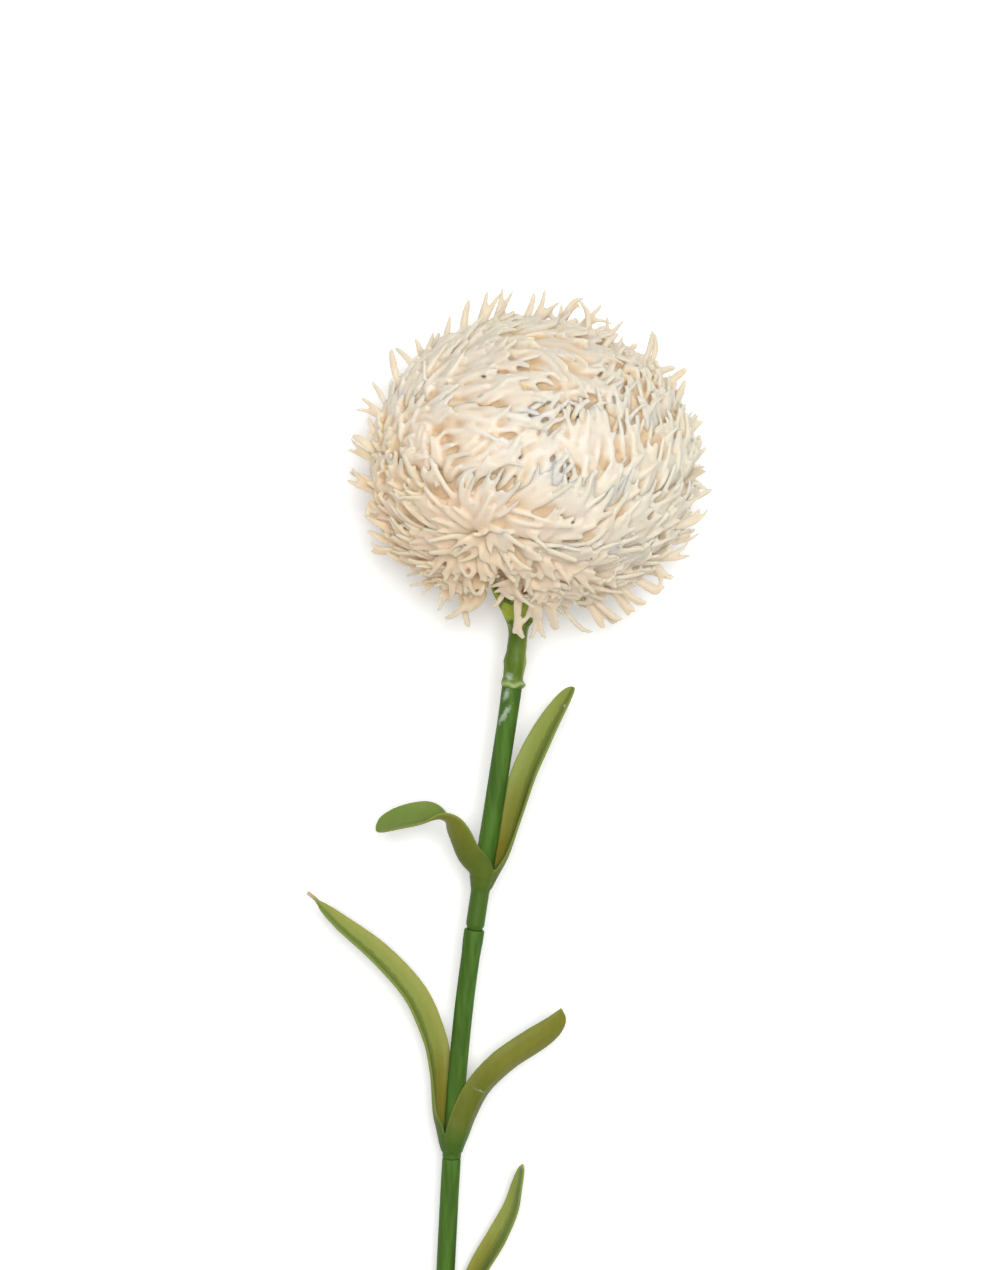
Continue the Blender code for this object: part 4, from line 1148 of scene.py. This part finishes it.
# Single petals that stand out at the head's edge, measured in the picture: right of and above its
# middle in mm, the heading of the tip in degrees, how far back the petal bends, its width, and whether
# it ends round (1) or pointed (0).
STANDING_OUT = [
    (-38.5, 20.4, 115, 7, 2.0, 0), (-41.5, 15.8, 140, 7, 3.2, 1), (-28.3, 30.8, 110, 7, 2.6, 0),
    (-32.5, 29.1, 125, 6, 2.2, 0), (-34.1, 28.5, 92, 8, 2.6, 0), (-19.6, 36.2, 72, 7, 2.2, 0),
    (-15.8, 40.5, 80, 8, 2.6, 0), (-8.2, 43.1, 58, 9, 3.4, 0), (-4.7, 43.4, 58, 8, 3.0, 0),
    (1.5, 41.9, 66, 8, 2.4, 0), (5.3, 41.9, 60, 9, 3.6, 0), (6.0, 39.2, 98, 7, 4.0, 0),
    (12.7, 40.5, -8, 4, 3.0, 0), (15.2, 39.9, 84, 6, 2.4, 0), (18.2, 37.8, 22, 6, 3.0, 1),
    (22.1, 36.0, 52, 8, 3.4, 0), (29.3, 32.9, 102, 6, 2.2, 0), (31.7, 32.1, 84, 7, 2.2, 0),
    (35.3, 23.9, 8, 4, 2.4, 0), (38.9, 24.3, 42, 7, 2.8, 0), (38.5, 20.4, 70, 6, 2.6, 0),
    (41.9, 11.1, 50, 7, 2.4, 0), (42.9, 5.1, 62, 6, 3.4, 1), (43.4, -4.8, 4, 6, 2.2, 0),
    (44.8, -7.9, 5, 8, 2.6, 0), (44.3, -12.0, 30, 8, 3.0, 0), (43.1, -16.0, 28, 9, 3.0, 0),
    (39.9, -21.6, 22, 8, 3.0, 0), (35.3, -28.2, -12, 7, 2.4, 0), (35.4, -30.7, -52, 8, 3.0, 0),
    (34.7, -33.4, -26, 8, 3.0, 0), (31.0, -36.7, -28, 9, 2.8, 0), (27.5, -39.0, -46, 9, 3.0, 1),
    (23.7, -39.9, -30, 8, 2.6, 0), (22.4, -41.5, -50, 9, 2.6, 0), (19.3, -41.9, -56, 9, 2.6, 0),
    (15.3, -42.1, -14, 6, 1.8, 0), (-11.2, -35.7, -92, 7, 2.4, 1), (-13.1, -36.4, -98, 7, 2.6, 1),
    (-15.5, -39.9, -76, 9, 2.8, 1), (-18.9, -39.3, -122, 7, 2.4, 1), (-24.1, -33.7, 212, 8, 3.0, 1),
    (-28.6, -31.6, 212, 8, 3.4, 1), (-35.6, -24.1, 172, 9, 2.8, 0), (-41.3, -19.2, 138, 7, 3.0, 0),
    (-40.0, -16.3, 145, 8, 2.8, 0), (-41.2, -13.5, 158, 7, 2.6, 0), (-41.4, -11.7, 232, 5, 2.6, 1),
    (-45.1, -2.4, 140, 7, 3.6, 0), (-44.2, -1.6, 148, 7, 2.4, 0), (-45.1, 5.1, 145, 7, 3.0, 0),
    (-42.8, 7.5, 130, 6, 2.6, 1), (-40.6, 11.0, 118, 6, 2.4, 0),
]
UPWARD = (0, 0, 1)
for right, above, heading, reach, width, blunt in STANDING_OUT:
    heading = math.radians(heading)
    flow = from_picture(math.cos(heading), math.sin(heading), dice.uniform(-0.1, 0.1)).normalized() * MM
    # Melting takes the last 0.7 mm off the tips.
    tip = seen_at(right * MM, above * MM, dice.uniform(-5, 5) * MM) + 0.7 * flow
    flow *= reach
    plant(
        [at_level(tip - 1.4 * flow, ROOT_LEVEL + 0.04), tip - 0.95 * flow, tip - 0.45 * flow, tip],
        width=0.85 * width * MM,
        prongs=2 if width > 2.9 else 1,
        spread=2.2,
        blunt=blunt,
        fork=dice.uniform(0.5, 0.62),
        facing=UPWARD,
        roll=dice.gauss(0, 0.3),
        sickle=dice.gauss(0, 1.2) * MM,
    )

# Straps that hang down in front of the calyx, measured in the picture: right of and above the head's
# middle and nearer the eye, in mm, the heading, how far back they bend, their width and their prongs.
HANGING = [
    (-8.4, -35.9, 9, 246, 7, 1.6, 1), (-3.3, -40.0, 10, -90, 9, 2.4, 1),
    (-5.0, -41.6, 9.5, -125, 4, 1.6, 1), (-1.6, -43.4, 9.5, -58, 5, 1.8, 1),
    (1.2, -38.2, 11, -88, 8, 3.6, 1), (-1.4, -39.7, 10, -115, 5, 1.5, 1),
    (1.6, -43.4, 9, -88, 6, 1.8, 1), (3.5, -44.9, 9, -76, 8, 1.8, 1), (6.4, -41.3, 9, -76, 11, 3.3, 1),
    (9.4, -34.8, 9, -70, 7, 3.0, 2), (0.5, -33.2, 15, -90, 8, 3.4, 2), (5.4, -33.6, 14, -82, 8, 3.4, 2),
    (-3.6, -33.0, 13, -92, 7, 2.8, 1),
]
for right, above, nearer, heading, reach, width, prongs in HANGING:
    heading = math.radians(heading)
    tip = seen_at(right * MM, above * MM, nearer * MM)
    flow = from_picture(math.cos(heading), math.sin(heading), -0.1).normalized() * reach * MM
    root = at_level(tip - 1.1 * flow + 6 * MM * Vector(UPWARD), ROOT_LEVEL + 0.02)
    plant(
        [root, tip - 0.85 * flow, tip - 0.4 * flow, tip],
        width=width * MM,
        prongs=prongs,
        blunt=True,
        fork=dice.uniform(0.5, 0.65),
        facing=UPWARD,
        roll=dice.gauss(0, 0.2),
        sickle=dice.gauss(0, 0.8) * MM,
    )

# Cream polyethylene: milky, so that light passes between the petals. Painted light: the hollows are
# painted peach and the deepest pits brown as shade, the lower left, the bottom, the top and the
# outermost tips are painted darker as shade, and the right side a cooler grey for its light.
cream_polyethylene, tree, shader, places = new_material("moulded_cream_polyethylene")
from_centre = reckon_vector(tree, "SUBTRACT", {0: places, 1: tuple(head_centre)})
scaled = reckon_vector(tree, "MULTIPLY", {0: from_centre, 1: tuple(1 / s for s in SHELL)})
depth = reckon_vector(tree, "LENGTH", {0: scaled}, "Value")
to_right, to_top, _ = add_node(tree, "ShaderNodeSeparateXYZ", {0: scaled}).outputs
low_left = reckon(tree, "ADD", to_right, to_top)
warm = ramp(tree, mottle(tree, places, 9 * MM, 3), 0.4, 0.62)
smudges = mottle(tree, places, 2.6 * MM, 3)
colour = blend(tree, warm, "#F1E8DB", "#F0E4D2")
# Painted shade at the lower left.
colour = blend(tree, ramp(tree, low_left, -0.1, -1.2, 0, 0.8), colour, "#EACFAF")
# A cooler, greyer tint painted on the right side for the light that falls there.
colour = blend(tree, ramp(tree, to_right, 0.1, 0.9, 0, 0.7), colour, "#DBD5C3")
# Painted shade, darker towards the bottom.
colour = blend(tree, ramp(tree, to_top, -0.2, -0.95, 0, 0.55), colour, "#DCC8AD")
# Painted shade, darker towards the top.
colour = blend(tree, ramp(tree, to_top, 0.2, 0.95, 0, 0.75), colour, "#D3C9B6")
colour = blend(tree, ramp(tree, smudges, 0.66, 0.76, 0, 0.6), colour, "#CDD0CC")
# Painted shade: the hollows between the petals are painted peach.
colour = blend(tree, ramp(tree, depth, 0.95, 0.99, 1, 0, "SMOOTHSTEP"), colour, "#E3CBA9")
# Painted shade on the outermost tips, which stand past the shell.
colour = blend(tree, ramp(tree, depth, 1.01, 1.09, 0, 0.85), colour, "#D6C9B6")
# Painted shade: the deepest floor, as in the pits, is painted brown.
colour = blend(tree, ramp(tree, depth, 0.885, 0.915, 1, 0), colour, "#A5611F")
finish_plastic(tree, shader, places, colour, 0.42, 1.2 * MM, 0.06 * MM)
set_inputs(tree, shader, {"Subsurface Weight": 1.0, "Subsurface Radius": (1.0, 0.84, 0.66)})
shader.inputs["Subsurface Scale"].default_value = 2.6 * MM

for name, row in petal_rows.items():
    ring, faces = petal_ring(*RINGS[name])
    row.add(faces, above_table(ring @ HEAD_AXES + np.array(head_centre), TABLE_CLEARANCE))
    points = np.concatenate(row.points).tolist()
    piece = make_piece(f"petal_row_{name}", points, row.faces, cream_polyethylene)
    rounding = piece.modifiers.new("rounding", "SUBSURF")
    rounding.levels = rounding.render_levels = 1
    melt(piece, MELT_VOXEL, MELT_SMOOTHING, MOST_TRIANGLES)
    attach(piece, "root")
    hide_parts("flower_head")


# Table, light and camera. The flower lies on a sheet of opal acrylic lit faintly from behind, under a
# large soft box, and the camera looks straight down, so that the stem stands upright in the picture.
FOCUS_HEIGHT = 28 * MM  # the height over the table at which the picture's scale was measured
PICTURE_TALL = 1270 * 0.25 * MM  # the picture's 1270 pixels, at 0.25 mm each
TABLE_SIZE = 6.0
SENSOR_WIDTH = 36  # mm, as the lens is

# Opal acrylic sheet, matt and evenly white, faintly lit from behind.
opal_acrylic, tree, shader, _ = new_material("opal_acrylic")
set_inputs(tree, shader, {"Base Color": paint("#FBFBFA"), "Roughness": 0.6})
set_inputs(tree, shader, {"Emission Color": (1, 1, 1, 1), "Emission Strength": 0.15})
corner = TABLE_SIZE / 2
corners = [(-corner, -corner, 0), (corner, -corner, 0), (corner, corner, 0), (-corner, corner, 0)]
table = make_piece("table_top", corners, [(0, 1, 2, 3)], opal_acrylic)

world = bpy.data.worlds.new("studio")
world.use_nodes = True
sky = world.node_tree.nodes["Background"]
set_inputs(world.node_tree, sky, {"Color": (1, 1, 1, 1), "Strength": 0.26})
bpy.context.scene.world = world
# (name, place, side of the square box, watts): one over the camera, a weaker one from the upper right.
LIT_SPOT = Vector((0, 0.05, 0))
for name, place, size, watts in (
    ("front_soft_box", (0.06, 0.2, 1.9), 0.6, 28),
    ("right_soft_box", (0.75, 0.8, 1.0), 0.6, 2.2),
):
    light = bpy.data.lights.new(name, "AREA")
    light.shape = "SQUARE"
    light.size = size
    light.energy = watts
    soft_box = bpy.data.objects.new(name, light)
    soft_box.location = place
    soft_box.rotation_mode = "QUATERNION"
    soft_box.rotation_quaternion = (soft_box.location - LIT_SPOT).to_track_quat("Z", "Y")
    bpy.context.scene.collection.objects.link(soft_box)

camera_data = bpy.data.cameras.new("camera")
camera_data.sensor_width = SENSOR_WIDTH
camera_data.lens = SENSOR_WIDTH * (CAMERA_HEIGHT - FOCUS_HEIGHT) / PICTURE_TALL
camera = bpy.data.objects.new("camera", camera_data)
camera.location = EYE
bpy.context.scene.collection.objects.link(camera)
bpy.context.scene.camera = camera
bpy.context.scene.view_settings.view_transform = "Standard"
